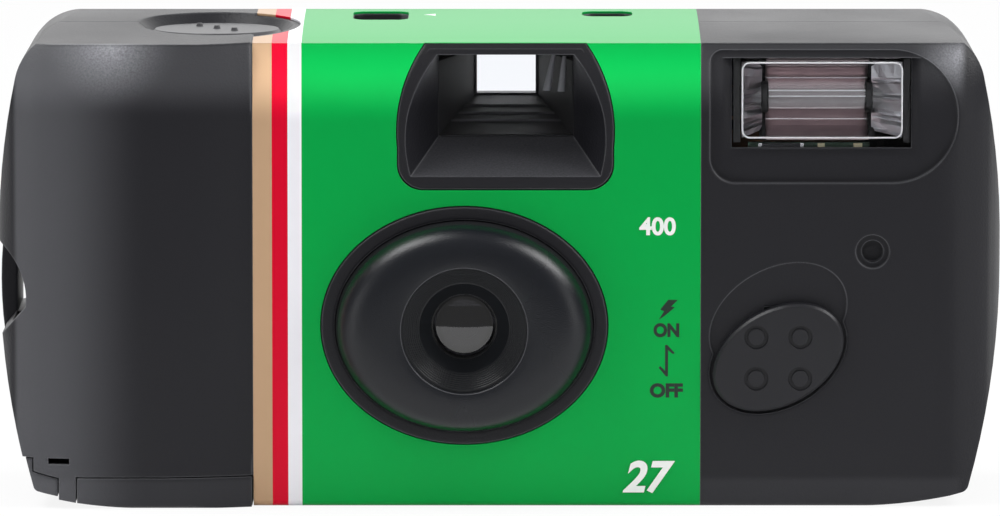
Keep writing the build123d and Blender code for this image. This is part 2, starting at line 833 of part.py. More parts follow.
arm_length = hypot(lens_x - pivot_x, lens_z - pivot_z)
arm_angle = degrees(atan2(lens_z - pivot_z, lens_x - pivot_x))
with BuildPart() as shutter_blade:
    with BuildSketch(across(blade_y)):
        with Locations((lens_x, lens_z)):
            Circle(blade_disc_r)
        with Locations((pivot_x, pivot_z)):
            Circle(blade_hub_r)
        with Locations(((lens_x + pivot_x) / 2, (lens_z + pivot_z) / 2)):
            Rectangle(arm_length, blade_arm_width, rotation=arm_angle)
        with Locations((pivot_x - tab_width / 2, (pivot_z + tab_top_z) / 2)):
            Rectangle(tab_width, tab_top_z - pivot_z)
        with Locations((pivot_x, pivot_z)):
            Circle(pivot_r + running_gap, mode=Mode.SUBTRACT)
    extrude(amount=-blade_thickness)
save(shutter_blade.part, "shutter_blade")

# Return spring of the blade and the contact that it closes
spring_wire = 0.35
spring_gap = 0.08
spring_leg = 2.6
spring_leg_z = 28.5
sync_x = -14.3
sync_width = 1.2
sync_low = 16.3
sync_high = 20.3
sync_sheet = 0.3
sync_lift = 0.9

with BuildPart() as shutter_spring:
    boss(
        pivot_x, pivot_z, blade_y + blade_thickness + spring_gap, shutter_plate_y - running_gap,
        blade_hub_r,
    )
    block(
        pivot_x - spring_leg, pivot_x, blade_y + blade_thickness + spring_gap,
        shutter_plate_y - running_gap, spring_leg_z, spring_leg_z + spring_wire,
    )
    boss(pivot_x, pivot_z, blade_y, shutter_plate_y, pivot_r + spring_gap, Mode.SUBTRACT)
save(shutter_spring.part, "shutter_spring")

with BuildPart() as sync_contact:
    block(
        sync_x - sync_width / 2, sync_x + sync_width / 2, shutter_plate_y - sync_sheet,
        shutter_plate_y, sync_low, sync_high,
    )
    block(
        sync_x + sync_width / 2 - sync_sheet, sync_x + sync_width / 2, shutter_plate_y - sync_lift,
        shutter_plate_y, sync_low, sync_high,
    )
save(sync_contact.part, "sync_contact")

# Viewfinder lenses
finder_lens_rim = 0.5
finder_lens_thickness = 1.2
finder_lens_hollow = 0.3
finder_lens_gap = 0.05
finder_mid_x = (finder_left + finder_right) / 2
finder_mid_z = (finder_low + finder_high) / 2
finder_lens_back_y = finder_y + finder_lens_gap + finder_lens_thickness
finder_curve_r = (finder_right - finder_left) ** 2 / (8 * finder_lens_hollow) + finder_lens_hollow / 2

with BuildPart() as finder_front_lens:
    block(
        finder_left - finder_lens_rim, finder_right + finder_lens_rim, finder_y + finder_lens_gap,
        finder_lens_back_y, finder_low - finder_lens_rim, finder_high + finder_lens_rim,
    )
    with Locations((finder_mid_x, finder_lens_back_y - finder_lens_hollow + finder_curve_r, finder_mid_z)):
        Cylinder(finder_curve_r, body_height, mode=Mode.SUBTRACT)
save(finder_front_lens.part, "finder_front_lens")

with BuildPart() as finder_rear_lens:
    block(
        eyepiece_x - eyepiece_half_width - eyepiece_rim / 2,
        eyepiece_x + eyepiece_half_width + eyepiece_rim / 2,
        eyepiece_y, eyepiece_y + eyepiece_rim - running_gap,
        eyepiece_low - eyepiece_rim / 2, eyepiece_high + eyepiece_rim / 2,
    )
    edges = finder_rear_lens.edges().filter_by(Axis.Y)
    fillet(edges, finder_lens_rim)
save(finder_rear_lens.part, "finder_rear_lens")

# Flash window, reflector and tube
window_flange = 0.6
window_left = 26.3
window_right = 44.0
window_base_drop = 10.6
window_base = crease_z - window_base_drop
window_top_drop = 2.0
window_top = crease_z - window_top_drop
window_corner_r = 0.8
window_front_y = -10.95
window_flange_y = -10.2
sheet = 0.4
reflector_depth = 5.6
reflector_side = 3.3
bowl_half = 1.9
tube_r = 1.3
tube_y = -5.9
tube_cap = 1.4
tube_edge = 0.33

with BuildPart() as flash_window:
    block(
        pocket_left + fit_gap, pocket_right - fit_gap, window_flange_y, window_flange_y + window_flange,
        window_low + fit_gap, pocket_high - fit_gap,
    )
    with BuildSketch(across(window_flange_y)):
        with Locations(((window_left + window_right) / 2, (window_base + window_top) / 2)):
            RectangleRounded(window_right - window_left, window_top - window_base, window_corner_r)
    extrude(amount=window_flange_y - window_front_y)
save(flash_window.part, "flash_window")

reflector_y = window_flange_y + window_flange + fit_gap
reflector_mid_z = (window_base + window_top) / 2
reflector_half = (window_top - window_base) / 2


def trough(x, grow):
    """Section of the reflector: a deep round-bottomed trough open to the front."""
    with BuildSketch(Plane.YZ.offset(x)) as outline:
        with BuildLine():
            side_y = reflector_y + reflector_side
            bowl = ThreePointArc(
                (side_y, reflector_mid_z - bowl_half),
                (reflector_y + reflector_depth - sheet, reflector_mid_z),
                (side_y, reflector_mid_z + bowl_half),
            )
            Polyline(
                bowl @ 1, (reflector_y, reflector_mid_z + reflector_half - sheet),
                (reflector_y, reflector_mid_z - reflector_half + sheet), bowl @ 0,
            )
        make_face()
        if grow:
            offset(amount=grow, kind=Kind.INTERSECTION)
    return outline.sketch


with BuildPart() as reflector:
    extrude(trough(window_left, sheet), amount=window_right - window_left)
    block(0, body_width, -body_width, reflector_y, 0, body_height, Mode.SUBTRACT)
    extrude(trough(window_left, 0), amount=window_right - window_left, mode=Mode.SUBTRACT)
    for end_x in (window_left, window_right - sheet):
        extrude(trough(end_x, sheet / 2), amount=sheet)
    block(0, body_width, -body_width, reflector_y, 0, body_height, Mode.SUBTRACT)
    with Locations(((window_left + window_right) / 2, tube_y, reflector_mid_z)):
        Cylinder(tube_r + running_gap, body_width, rotation=(0, 90, 0), mode=Mode.SUBTRACT)
save(reflector.part, "reflector")

with BuildPart() as flash_tube:
    with Locations(((window_left + window_right) / 2, tube_y, reflector_mid_z)):
        Cylinder(tube_r, window_right - window_left + 2 * tube_cap, rotation=(0, 90, 0))
    chamfer(flash_tube.edges().filter_by(GeomType.CIRCLE), tube_edge)
save(flash_tube.part, "flash_tube")

# Flash switch: oval knob with four bumps, its stem and the slider plate inside
knob_lift = 0.1
knob_height = 1.5
knob_edge = 0.3
bump_r = 0.9
bump_ring_r = 1.3
bump_ring_depth = 0.3
bump_pitch_x = 4.8
bump_pitch_z = 4.6
stem_gap = 0.2
stem_front_y = -11.3
slider_y = -10.15
slider_thickness = 0.55
slider_half_width = 3.2
slider_half_height = 4.0
link_x = 14.2
link_width = 2.0
link_top = 36.9
knob_v = switch_z - switch_top_z

with BuildPart() as flash_switch:
    with BuildSketch(recess_plane.offset(knob_lift)):
        with Locations((switch_x, knob_v)):
            Ellipse(switch_half_length, switch_half_width, rotation=switch_tilt)
    extrude(amount=knob_height)
    chamfer(flash_switch.faces().sort_by(Axis.Y)[0].edges(), knob_edge)
    with BuildSketch(recess_plane.offset(knob_lift + knob_height - bump_ring_depth)):
        with Locations((switch_x, knob_v)):
            with GridLocations(bump_pitch_x, bump_pitch_z, 2, 2):
                Circle(bump_ring_r)
                Circle(bump_r, mode=Mode.SUBTRACT)
    extrude(amount=overrun, mode=Mode.SUBTRACT)
    block(
        switch_x - slot_half_width + stem_gap, switch_x + slot_half_width - stem_gap,
        stem_front_y, slider_y + slider_thickness,
        switch_z - slot_half_length + stem_gap, switch_z + slot_half_length - stem_gap,
    )
    block(
        switch_x - slider_half_width, switch_x + slider_half_width, slider_y, slider_y + slider_thickness,
        switch_z - slider_half_height, switch_z + slider_half_height,
    )
    block(link_x, switch_x, slider_y, slider_y + slider_thickness, switch_z, switch_z + link_width)
    block(link_x, link_x + link_width, slider_y, slider_y + slider_thickness, switch_z, link_top)
save(flash_switch.part, "flash_switch")

# Lamp guide: a clear post under the top slot on an arm that the switch lifts
guide_gap = 0.1
guide_low = link_top + guide_gap
guide_arm = 1.2
guide_half_width = 2.2
guide_half_depth = 1.7
guide_drop = 0.7
guide_top = ridge_z - guide_drop

with BuildPart() as light_guide:
    block(
        lamp_x - guide_half_width, lamp_x + guide_half_width, lamp_y - guide_half_depth,
        lamp_y + guide_half_depth, guide_low, guide_top,
    )
    fillet(light_guide.edges().filter_by(Axis.Z), guide_half_depth / 2)
    block(link_x, link_x + link_width, slider_y, lamp_y, guide_low, guide_low + guide_arm)
    block(lamp_x, link_x + link_width, lamp_y - link_width, lamp_y, guide_low, guide_low + guide_arm)
save(light_guide.part, "light_guide")

# Cartridge, its spool and the winding wheel
can_edge = 0.6
lip_thickness = 1.4
lip_reach = 12.4
lip_slot = 0.3
film_start_x = cartridge_x + lip_reach
spool_bore_r = 4.0
spool_hole_depth = 8.0
lip_y = film_y(film_start_x)
can_opening_r = spool_r + part_gap
can_sheet = 0.6

with BuildPart() as cartridge_shell:
    post(cartridge_x, cartridge_y, cartridge_low, cartridge_low + cartridge_height, cartridge_r)
    chamfer(cartridge_shell.edges().filter_by(GeomType.CIRCLE), can_edge)
    block(
        cartridge_x, film_start_x, lip_y - lip_thickness / 2, lip_y + lip_thickness / 2,
        film_centre_z - film_width / 2 - can_edge, film_centre_z + film_width / 2 + can_edge,
    )
    block(
        cartridge_x, film_start_x + overrun, lip_y - lip_slot / 2, lip_y + lip_slot / 2,
        film_centre_z - film_width / 2, film_centre_z + film_width / 2, Mode.SUBTRACT,
    )
    post(
        cartridge_x, cartridge_y, cartridge_low + can_sheet, cartridge_low + cartridge_height - can_sheet,
        cartridge_r - can_sheet, Mode.SUBTRACT,
    )
    post(cartridge_x, cartridge_y, 0, body_height, can_opening_r, Mode.SUBTRACT)
save(cartridge_shell.part, "cartridge_shell")

spool_flange_r = 10.6
spool_flange = 0.8
spool_low = cartridge_low + part_gap
spool_top = cartridge_low + cartridge_height + spool_rise
web_width = 1.6

with BuildPart() as cartridge_spool:
    post(cartridge_x, cartridge_y, spool_low, spool_top, spool_r)
    for flange_z in (
        film_centre_z - film_width / 2 - 2 * spool_flange, film_centre_z + film_width / 2 + spool_flange
    ):
        post(cartridge_x, cartridge_y, flange_z, flange_z + spool_flange, spool_flange_r)
    post(cartridge_x, cartridge_y, spool_top - spool_hole_depth, spool_top, spool_bore_r, Mode.SUBTRACT)
    block(
        cartridge_x - web_width / 2, cartridge_x + web_width / 2, cartridge_y - spool_bore_r,
        cartridge_y + spool_bore_r, spool_top - spool_hole_depth, spool_top - spool_rise,
    )
save(cartridge_spool.part, "cartridge_spool")

wheel_teeth = 50
wheel_tooth = 0.7
wheel_roof = 0.9
wheel_rim = 1.6
wheel_bore_r = 1.6
fork_r = 3.7
fork_depth = 5.0
hub_wall = 1.0


def toothed(x, y, z, teeth, outer_r, depth):
    """Saw-edged disc outline: one sloping flank and one steep flank to each tooth."""
    flank_share = 0.2
    with BuildSketch(Plane.XY.offset(z)) as outline:
        with BuildLine():
            rim = []
            for tooth in range(teeth):
                tip = 2 * pi * tooth / teeth
                root = tip + 2 * pi * flank_share / teeth
                rim.append((x + outer_r * cos(tip), y + outer_r * sin(tip)))
                rim.append((x + (outer_r - depth) * cos(root), y + (outer_r - depth) * sin(root)))
            Polyline(*rim, close=True)
        make_face()
    return outline.sketch


with BuildPart() as winding_wheel:
    wheel_rim_outline = toothed(cartridge_x, cartridge_y, wheel_z, wheel_teeth, wheel_r, wheel_tooth)
    extrude(wheel_rim_outline, amount=wheel_height)
    post(cartridge_x, cartridge_y, wheel_z, wheel_top - wheel_roof, wheel_r - wheel_rim, Mode.SUBTRACT)
    post(cartridge_x, cartridge_y, wheel_z, wheel_top, spool_r + fit_gap + hub_wall)
    post(cartridge_x, cartridge_y, wheel_z, spool_top + fit_gap, spool_r + fit_gap, Mode.SUBTRACT)
    for side in (-1, 1):
        with BuildSketch(Plane.XY.offset(spool_top - fork_depth)):
            with Locations((cartridge_x, cartridge_y)):
                Circle(fork_r)
            with Locations((cartridge_x - side * fork_r + side * (web_width / 2 + fit_gap), cartridge_y)):
                Rectangle(2 * fork_r, 2 * fork_r, mode=Mode.SUBTRACT)
        extrude(amount=fork_depth + fit_gap)
    post(cartridge_x, cartridge_y, wheel_top - 2 * wheel_roof, body_height, wheel_bore_r, Mode.SUBTRACT)
save(winding_wheel.part, "winding_wheel")

# Film across the gate, perforated along both edges
film_gap = 0.1
roll_r = 8.8
film_end_x = 34.0
perforation_high = film_centre_z + film_width / 2 - perforation_inset
perforation_low = film_centre_z - film_width / 2 + perforation_inset
sprocket_x = -16.7
perforation_first = int((film_start_x - sprocket_x) / perforation_pitch)
perforation_last = int((film_end_x - sprocket_x) / perforation_pitch)
film_centre_y = film_gate_y - film_curve_r

with BuildPart() as film_strip:
    post(
        lens_x, film_centre_y, film_centre_z - film_width / 2, film_centre_z + film_width / 2,
        film_curve_r + film_thickness / 2,
    )
    post(lens_x, film_centre_y, 0, body_height, film_curve_r - film_thickness / 2, Mode.SUBTRACT)
    block(film_start_x, film_end_x, 0, body_width, 0, body_height, Mode.INTERSECT)
    holes = [
        (sprocket_x + hole * perforation_pitch, film_gate_y, row_z)
        for hole in range(perforation_first, perforation_last)
        for row_z in (perforation_low, perforation_high)
    ]
    with Locations(*holes):
        Box(perforation_length, body_width, perforation_height, mode=Mode.SUBTRACT)
save(film_strip.part, "film_strip")

# Supply spool and the roll of unexposed film
roll_lean = (film_end_x - lens_x) / film_curve_r
supply_x = film_end_x - (roll_r + film_gap) * roll_lean
supply_y = film_y(film_end_x) - (roll_r + film_gap) * (1 - roll_lean**2) ** (1 / 2)
supply_r = 5.15
supply_pin_r = 2.0
supply_pin = 1.2
supply_low = 4.6
supply_top = 41.9

with BuildPart() as supply_spool:
    post(supply_x, supply_y, supply_low, supply_top, supply_r)
    post(supply_x, supply_y, supply_low - supply_pin, supply_top + supply_pin, supply_pin_r)
save(supply_spool.part, "supply_spool")

with BuildPart() as film_roll:
    post(
        supply_x, supply_y, film_centre_z - film_width / 2, film_centre_z + film_width / 2, roll_r
    )
    post(supply_x, supply_y, 0, body_height, supply_r + running_gap, Mode.SUBTRACT)
save(film_roll.part, "film_roll")

# Sprocket: eight teeth in the film, the cocking cam and the finger that steps the counter
sprocket_pitch_r = sprocket_teeth * perforation_pitch / (2 * pi)
sprocket_y = film_y(sprocket_x) - sprocket_pitch_r
sprocket_height = 2.4
tooth_width = 1.4
tooth_height = 1.6
tooth_reach = 1.0
sprocket_tip_r = sprocket_pitch_r - film_thickness / 2 - film_gap
sprocket_body_r = sprocket_tip_r - tooth_reach
shaft_r = 1.2
shaft_low = 35.9
cam_r = 3.6
cam_low_r = 2.4
cam_z = 40.6
cam_height = 1.4
dial_lift = 0.35
dial_z = top_plate_z + top_plate_height + dial_lift
dial_height = 0.6
dial_r = 7.0
dial_tooth = 0.6
finger_r = 1.75
finger_gap = 0.15
finger_width = 0.8

with BuildPart() as sprocket:
    post(sprocket_x, sprocket_y, shaft_low, dial_z + dial_height, shaft_r)
    post(
        sprocket_x, sprocket_y, perforation_high - sprocket_height / 2,
        perforation_high + sprocket_height / 2, sprocket_body_r,
    )
    with BuildSketch(Plane.XY.offset(perforation_high - tooth_height / 2)):
        with Locations((sprocket_x, sprocket_y)):
            with PolarLocations(sprocket_body_r, sprocket_teeth):
                Rectangle(2 * tooth_reach, tooth_width)
    extrude(amount=tooth_height)
    with BuildSketch(Plane.XY.offset(cam_z)):
        with Locations((sprocket_x, sprocket_y)):
            Circle(cam_low_r)
        with Locations((sprocket_x + cam_r - cam_low_r, sprocket_y)):
            Circle(cam_low_r)
    extrude(amount=cam_height)
    block(
        sprocket_x - finger_r, sprocket_x, sprocket_y - finger_width / 2, sprocket_y + finger_width / 2,
        dial_z, dial_z + dial_height,
    )
save(sprocket.part, "sprocket")

# Counter dial under the window in the top
dial_x = sprocket_x + finger_r + finger_gap + dial_r
dial_y = counter_y
dial_pin_r = 1.0

with BuildPart() as counter_dial:
    extrude(toothed(dial_x, dial_y, dial_z, counter_teeth, dial_r, dial_tooth), amount=dial_height)
    post(dial_x, dial_y, dial_z, dial_z + dial_height, dial_pin_r + running_gap, Mode.SUBTRACT)
save(counter_dial.part, "counter_dial")

# Levers of the shutter release
kick_x = -13.0
kick_y = -1.6
kick_post_r = 0.9
lever_hub_r = 1.8
deck_top = 36.2
deck_thickness = 0.8
lever_lift = 0.15
lever_thickness = 1.2
leg_r = 0.6
leg_gap = 0.1
leg_x = pivot_x - tab_width - leg_r - leg_gap
leg_y = blade_y + blade_thickness / 2
leg_low = shutter_high + part_gap
follower_x = -15.0
follower_y = 3.2
arm_width = 2.0
lock_x = -21.0
lock_y = -6.5
lock_z = 45.0
lock_height = 1.5


def lever_arm(x_from, y_from, x_to, y_to, z, width):
    """Flat arm with round ends, seen from above."""
    with BuildSketch(Plane.XY.offset(z)) as outline:
        with Locations(((x_from + x_to) / 2, (y_from + y_to) / 2)):
            SlotCenterToCenter(
                hypot(x_to - x_from, y_to - y_from), width,
                rotation=degrees(atan2(y_to - y_from, x_to - x_from)),
            )
    return outline.sketch


kick_low = deck_top + lever_lift
kick_high = cam_z + cam_height

with BuildPart() as kick_lever:
    post(kick_x, kick_y, kick_low, kick_high, lever_hub_r)
    extrude(lever_arm(kick_x, kick_y, leg_x, leg_y, kick_low, arm_width), amount=lever_thickness)
    extrude(
        lever_arm(kick_x, kick_y, follower_x, follower_y, kick_high - lever_thickness, leg_r * 2),
        amount=lever_thickness,
    )
    post(leg_x, leg_y, leg_low, kick_low + lever_thickness, leg_r)
    post(kick_x, kick_y, kick_low, kick_high, kick_post_r + running_gap, Mode.SUBTRACT)
save(kick_lever.part, "kick_lever")

lock_reach = hypot(lock_x - cartridge_x, lock_y - cartridge_y)
pawl_share = (wheel_r + 2 * fit_gap + leg_r) / lock_reach
pawl_x = cartridge_x + (lock_x - cartridge_x) * pawl_share
pawl_y = cartridge_y + (lock_y - cartridge_y) * pawl_share
push_x = -20.4
push_y = -2.0

with BuildPart() as lock_lever:
    post(lock_x, lock_y, lock_z, lock_z + lock_height, lever_hub_r)
    extrude(lever_arm(lock_x, lock_y, pawl_x, pawl_y, lock_z, leg_r * 2), amount=lock_height)
    extrude(lever_arm(lock_x, lock_y, push_x, push_y, lock_z, leg_r * 2), amount=lock_height)
    post(lock_x, lock_y, lock_z, lock_z + lock_height, kick_post_r + running_gap, Mode.SUBTRACT)
save(lock_lever.part, "lock_lever")

# Shutter button: a domed disc, a tongue under the rim of the dish and a peg over the lock lever
button_sink = 0.5
button_stand = 0.6
button_base_z = dish_floor_z - button_sink
button_top_z = dish_floor_z + button_stand
button_crown = 0.3
button_bump_r = 0.55
button_bump_pitch = 3.4
button_row_turn = -54
button_bump_rise = 0.35
tongue_thickness = 0.5
tongue_low = dish_floor_z - dish_wall - running_gap - tongue_thickness
tongue_width = 2.0
tongue_reach = 9.9
peg_gap = 0.1
peg_low = lock_z + lock_height + button_travel + peg_gap
peg_length = 1.2

with BuildPart() as shutter_button:
    post(button_x, button_y, button_base_z, button_top_z, button_r)
    chamfer(shutter_button.edges().filter_by(GeomType.CIRCLE).sort_by(Axis.Z)[-1], button_crown)
    with Locations(Location((button_x, button_y, button_top_z), (0, 0, button_row_turn))):
        with GridLocations(button_bump_pitch, 0, 3, 1):
            Cone(button_bump_r, button_bump_r / 2, 2 * button_bump_rise)
    post(button_x, button_y, tongue_low, button_base_z, tongue_width)
    block(
        button_x, button_x + tongue_reach, button_y - tongue_width, button_y,
        tongue_low, tongue_low + tongue_thickness,
    )
    block(
        button_x + tongue_reach - peg_length, button_x + tongue_reach, button_y - tongue_width, button_y,
        peg_low, tongue_low + tongue_thickness,
    )
save(shutter_button.part, "shutter_button")

# Main frame: cartridge chamber, exposure tunnel, film gate, roll chamber and finder tunnel
chamber_gap = 0.35
chamber_low = 4.0
chamber_wall = 0.75
chamber_open_y = 10.6
gate_left = -23.9
gate_right = 23.0
gate_front_y = 11.0
gate_low = 4.6
gate_high = 41.4
tunnel_front_y = -6.8
tunnel_wall = 1.0
throat_half_width = 3.2
throat_half_height = 2.8
front_plate = 0.9
roll_gap = 0.4
roll_open_y = 6.6
deck_left = -22.4
deck_right = 13.6
deck_front_y = -5.0
shelf_left = -22.8
shelf_right = -19.2
shelf_front_y = -8.4
base_plate_low = 3.0
base_plate = 0.8
battery_x = -1.0
battery_y = -4.7
battery_length = 44.5
battery_r = 5.25
battery_low = 2.0
battery_z = battery_low + battery_r
nub_r = 2.7
nub_length = 0.8
contact_sheet = 0.4
contact_gap = 0.5
cradle_wall = 0.6
cradle_floor = 0.5
web_thickness = 1.0
bridge_low = supply_top + part_gap
bridge_height = 0.8
bridge_front_y = -1.8
bridge_back_y = 4.2
finder_roof_drop = 2.6
finder_roof_z = crease_z - finder_roof_drop
finder_wall = 0.7
finder_back_y = eyepiece_y - finder_lens_gap
chamber_r = cartridge_r + chamber_gap
roll_chamber_r = roll_r + roll_gap
roll_wall_r = roll_chamber_r + chamber_wall
bridge_half = roll_wall_r - chamber_wall / 2
contact_half = 3.6
cradle_half = 20.0
minus_x = battery_x - battery_length / 2 - contact_gap - contact_sheet
plus_x = battery_x + battery_length / 2 + nub_length + contact_gap

with BuildPart() as tunnel_outside:
    with BuildSketch(across(tunnel_front_y)):
        with Locations((lens_x, lens_z)):
            Rectangle(2 * (throat_half_width + tunnel_wall), 2 * (throat_half_height + tunnel_wall))
    with BuildSketch(across(gate_front_y + tunnel_wall)):
        with Locations((lens_x, film_centre_z)):
            Rectangle(frame_width + 2 * tunnel_wall, frame_height + 2 * tunnel_wall)
    loft(ruled=True)

with BuildPart() as tunnel_inside:
    with BuildSketch(across(tunnel_front_y)):
        with Locations((lens_x, lens_z)):
            Rectangle(2 * throat_half_width, 2 * throat_half_height)
    with BuildSketch(across(film_gate_y)):
        with Locations((lens_x, film_centre_z)):
            Rectangle(frame_width, frame_height)
    loft(ruled=True)


def finder_tube(grow):
    """Tapering tube between the two finder lenses."""
    with BuildPart() as tube:
        with BuildSketch(across(finder_lens_back_y + finder_lens_gap)):
            with Locations((finder_mid_x, finder_mid_z)):
                Rectangle(
                    finder_right - finder_left + 2 * grow, finder_high - finder_low + 2 * grow
                )
        with BuildSketch(across(finder_back_y)):
            with Locations((eyepiece_x, (eyepiece_low + eyepiece_high) / 2)):
                Rectangle(
                    2 * (eyepiece_half_width + grow), eyepiece_high - eyepiece_low + 2 * grow
                )
        loft(ruled=True)
    return tube.part


with BuildPart() as main_frame:
    # Film gate, its back curved like the film
    post(lens_x, film_centre_y, gate_low, gate_high, film_curve_r - film_thickness / 2 - film_gap)
    block(gate_left, gate_right, gate_front_y, film_gate_y, gate_low, gate_high, Mode.INTERSECT)
    add(tunnel_outside.part)
    # Plate that the shutter is fixed to
    extrude(shutter_outline(tunnel_front_y + front_plate), amount=front_plate)
    # Deck under the levers, the shelf of the lock lever and the base
    block(deck_left, deck_right, deck_front_y, gate_front_y, deck_top - deck_thickness, deck_top)
    block(shelf_left, shelf_right, shelf_front_y, deck_front_y, deck_top - deck_thickness, deck_top)
    block(
        gate_left, supply_x, battery_y + battery_r + web_thickness, gate_front_y + web_thickness,
        base_plate_low, base_plate_low + base_plate,
    )
    # Upright webs between the deck, the tunnel and the base
    for web_x in (lens_x - web_thickness, lens_x + throat_half_width):
        block(
            web_x, web_x + web_thickness, tunnel_front_y, gate_front_y, battery_z + battery_r + part_gap,
            deck_top,
        )
    block(
        gate_left, gate_right, gate_front_y - web_thickness, gate_front_y + web_thickness,
        base_plate_low, gate_low + web_thickness,
    )
    # Cartridge chamber and roll chamber, open behind for the film
    post(cartridge_x, cartridge_y, chamber_low, wheel_z - part_gap, chamber_r + chamber_wall)
    post(supply_x, supply_y, base_plate_low, film_centre_z + film_width / 2, roll_wall_r)
    block(
        -body_width, cartridge_x + chamber_r, chamber_open_y, body_width, 0, body_height,
        Mode.SUBTRACT,
    )
    block(
        chamber_r + cartridge_x - chamber_wall, gate_left + web_thickness, chamber_open_y / 2,
        gate_front_y + web_thickness, gate_low, gate_high,
    )
    block(
        gate_right - web_thickness, gate_right + 2 * web_thickness, roll_open_y - 2 * web_thickness,
        gate_front_y + web_thickness, gate_low, gate_high - 2 * web_thickness,
    )
    block(
        gate_right, body_width, roll_open_y, body_width, base_plate_low + base_plate, body_height,
        Mode.SUBTRACT,
    )
    post(cartridge_x, cartridge_y, 0, body_height, chamber_r, Mode.SUBTRACT)
    post(supply_x, supply_y, supply_low - fit_gap, body_height, roll_chamber_r, Mode.SUBTRACT)
    post(supply_x, supply_y, 0, supply_low, supply_pin_r + running_gap, Mode.SUBTRACT)
    # Bridge over the supply spool
    block(
        supply_x - bridge_half, supply_x + bridge_half, bridge_front_y, bridge_back_y,
        bridge_low, bridge_low + bridge_height,
    )
    for side in (-1, 1):
        leg_x_mid = supply_x + side * (roll_wall_r - chamber_wall / 2)
        block(
            leg_x_mid - chamber_wall / 2, leg_x_mid + chamber_wall / 2, bridge_front_y, bridge_back_y,
            film_centre_z, bridge_low + bridge_height,
        )
    post(supply_x, supply_y, bridge_low - overrun, body_height, supply_pin_r + running_gap, Mode.SUBTRACT)
    # Battery cradle
    block(
        minus_x - cradle_wall, plus_x + contact_sheet + cradle_wall, face_y,
        battery_y + battery_r + fit_gap, 0, battery_z + battery_r + fit_gap, Mode.SUBTRACT,
    )
    for end_x in (minus_x - cradle_wall, plus_x + contact_sheet):
        block(
            end_x, end_x + cradle_wall, battery_y - contact_half, battery_y + contact_half,
            battery_low - fit_gap - cradle_floor, battery_z + contact_half,
        )
    block(
        minus_x - cradle_wall, plus_x + contact_sheet + cradle_wall, battery_y - contact_half,
        battery_y + contact_half, battery_low - fit_gap - cradle_floor, battery_low - fit_gap,
    )
    block(
        battery_x - cradle_half, battery_x + cradle_half, battery_y + contact_half,
        battery_y + battery_r + web_thickness, battery_low - fit_gap - cradle_floor, battery_low - fit_gap,
    )
    block(
        battery_x - cradle_half, battery_x + cradle_half, battery_y + battery_r + fit_gap,
        battery_y + battery_r + web_thickness, battery_low - fit_gap - cradle_floor,
        battery_z + battery_r / 2,
    )
    # Finder tunnel on two ribs
    block(
        eyepiece_x - eyepiece_half_width, eyepiece_x - eyepiece_half_width + web_thickness,
        deck_front_y + part_gap, finder_back_y, deck_top - deck_thickness / 2, eyepiece_low,
    )
    block(
        eyepiece_x + eyepiece_half_width - web_thickness, eyepiece_x + eyepiece_half_width,
        deck_front_y + part_gap, finder_back_y, deck_top - deck_thickness / 2, eyepiece_low,
    )
    block(
        -body_width, body_width, -body_width, finder_lens_back_y + finder_lens_gap,
        deck_top, body_height, Mode.SUBTRACT,
    )
    add(finder_tube(finder_wall))
    block(-body_width, body_width, -body_width, body_width, finder_roof_z, body_height, Mode.SUBTRACT)
    add(finder_tube(0), mode=Mode.SUBTRACT)
    # Open the tunnel, and make room for the battery, the sprocket and the levers' posts
    add(tunnel_inside.part, mode=Mode.SUBTRACT)
    with Locations((battery_x, battery_y, battery_z)):
        Cylinder(battery_r + fit_gap, battery_length, rotation=(0, 90, 0), mode=Mode.SUBTRACT)
    post(
        sprocket_x, sprocket_y, perforation_high - sprocket_height / 2 - part_gap, gate_high + overrun,
        sprocket_pitch_r + part_gap, Mode.SUBTRACT,
    )
    post(sprocket_x, sprocket_y, shaft_low - running_gap, body_height, shaft_r + running_gap, Mode.SUBTRACT)
    post(kick_x, kick_y, deck_top - deck_thickness / 2, kick_high + fit_gap, kick_post_r)
    post(lock_x, lock_y, deck_top - deck_thickness / 2, lock_z - fit_gap, lever_hub_r - part_gap)
    post(lock_x, lock_y, deck_top, lock_z + lock_height + fit_gap, kick_post_r)
    # Throat for the light behind the shutter
    boss(lens_x, lens_z, tunnel_front_y - overrun, tunnel_front_y + overrun, shutter_hole_r, Mode.SUBTRACT)
save(main_frame.part, "main_frame")

# Top plate: holds down the wheel, steadies the sprocket shaft and carries the dial
plate_reach = 4.8
plate_left = sprocket_x - plate_reach
plate_right = dial_x + dial_pin_r
plate_front_y = 3.4
plate_back_y = 13.6
wheel_pin_r = 1.5
strut_width = 5.0
foot_x = -22.6
foot_width = 2.2

with BuildPart() as top_plate:
    block(plate_left, plate_right, plate_front_y, plate_back_y, top_plate_z, top_plate_z + top_plate_height)
    block(
        cartridge_x, plate_left + web_thickness, plate_front_y, plate_front_y + strut_width,
        top_plate_z, top_plate_z + top_plate_height,
    )
    post(cartridge_x, cartridge_y, top_plate_z, top_plate_z + top_plate_height, 2 * wheel_pin_r)
    post(cartridge_x, cartridge_y, wheel_top - wheel_roof, top_plate_z, wheel_pin_r)
    post(dial_x, dial_y, top_plate_z, dial_z + dial_height + fit_gap, dial_pin_r)
    block(
        foot_x, foot_x + foot_width, gate_front_y - foot_width / 2, gate_front_y + foot_width / 2,
        gate_high, top_plate_z + top_plate_height,
    )
    block(
        foot_x, plate_left + web_thickness, gate_front_y - foot_width / 2, gate_front_y + foot_width / 2,
        top_plate_z, top_plate_z + top_plate_height,
    )
    post(sprocket_x, sprocket_y, 0, body_height, shaft_r + running_gap, Mode.SUBTRACT)
save(top_plate.part, "top_plate")

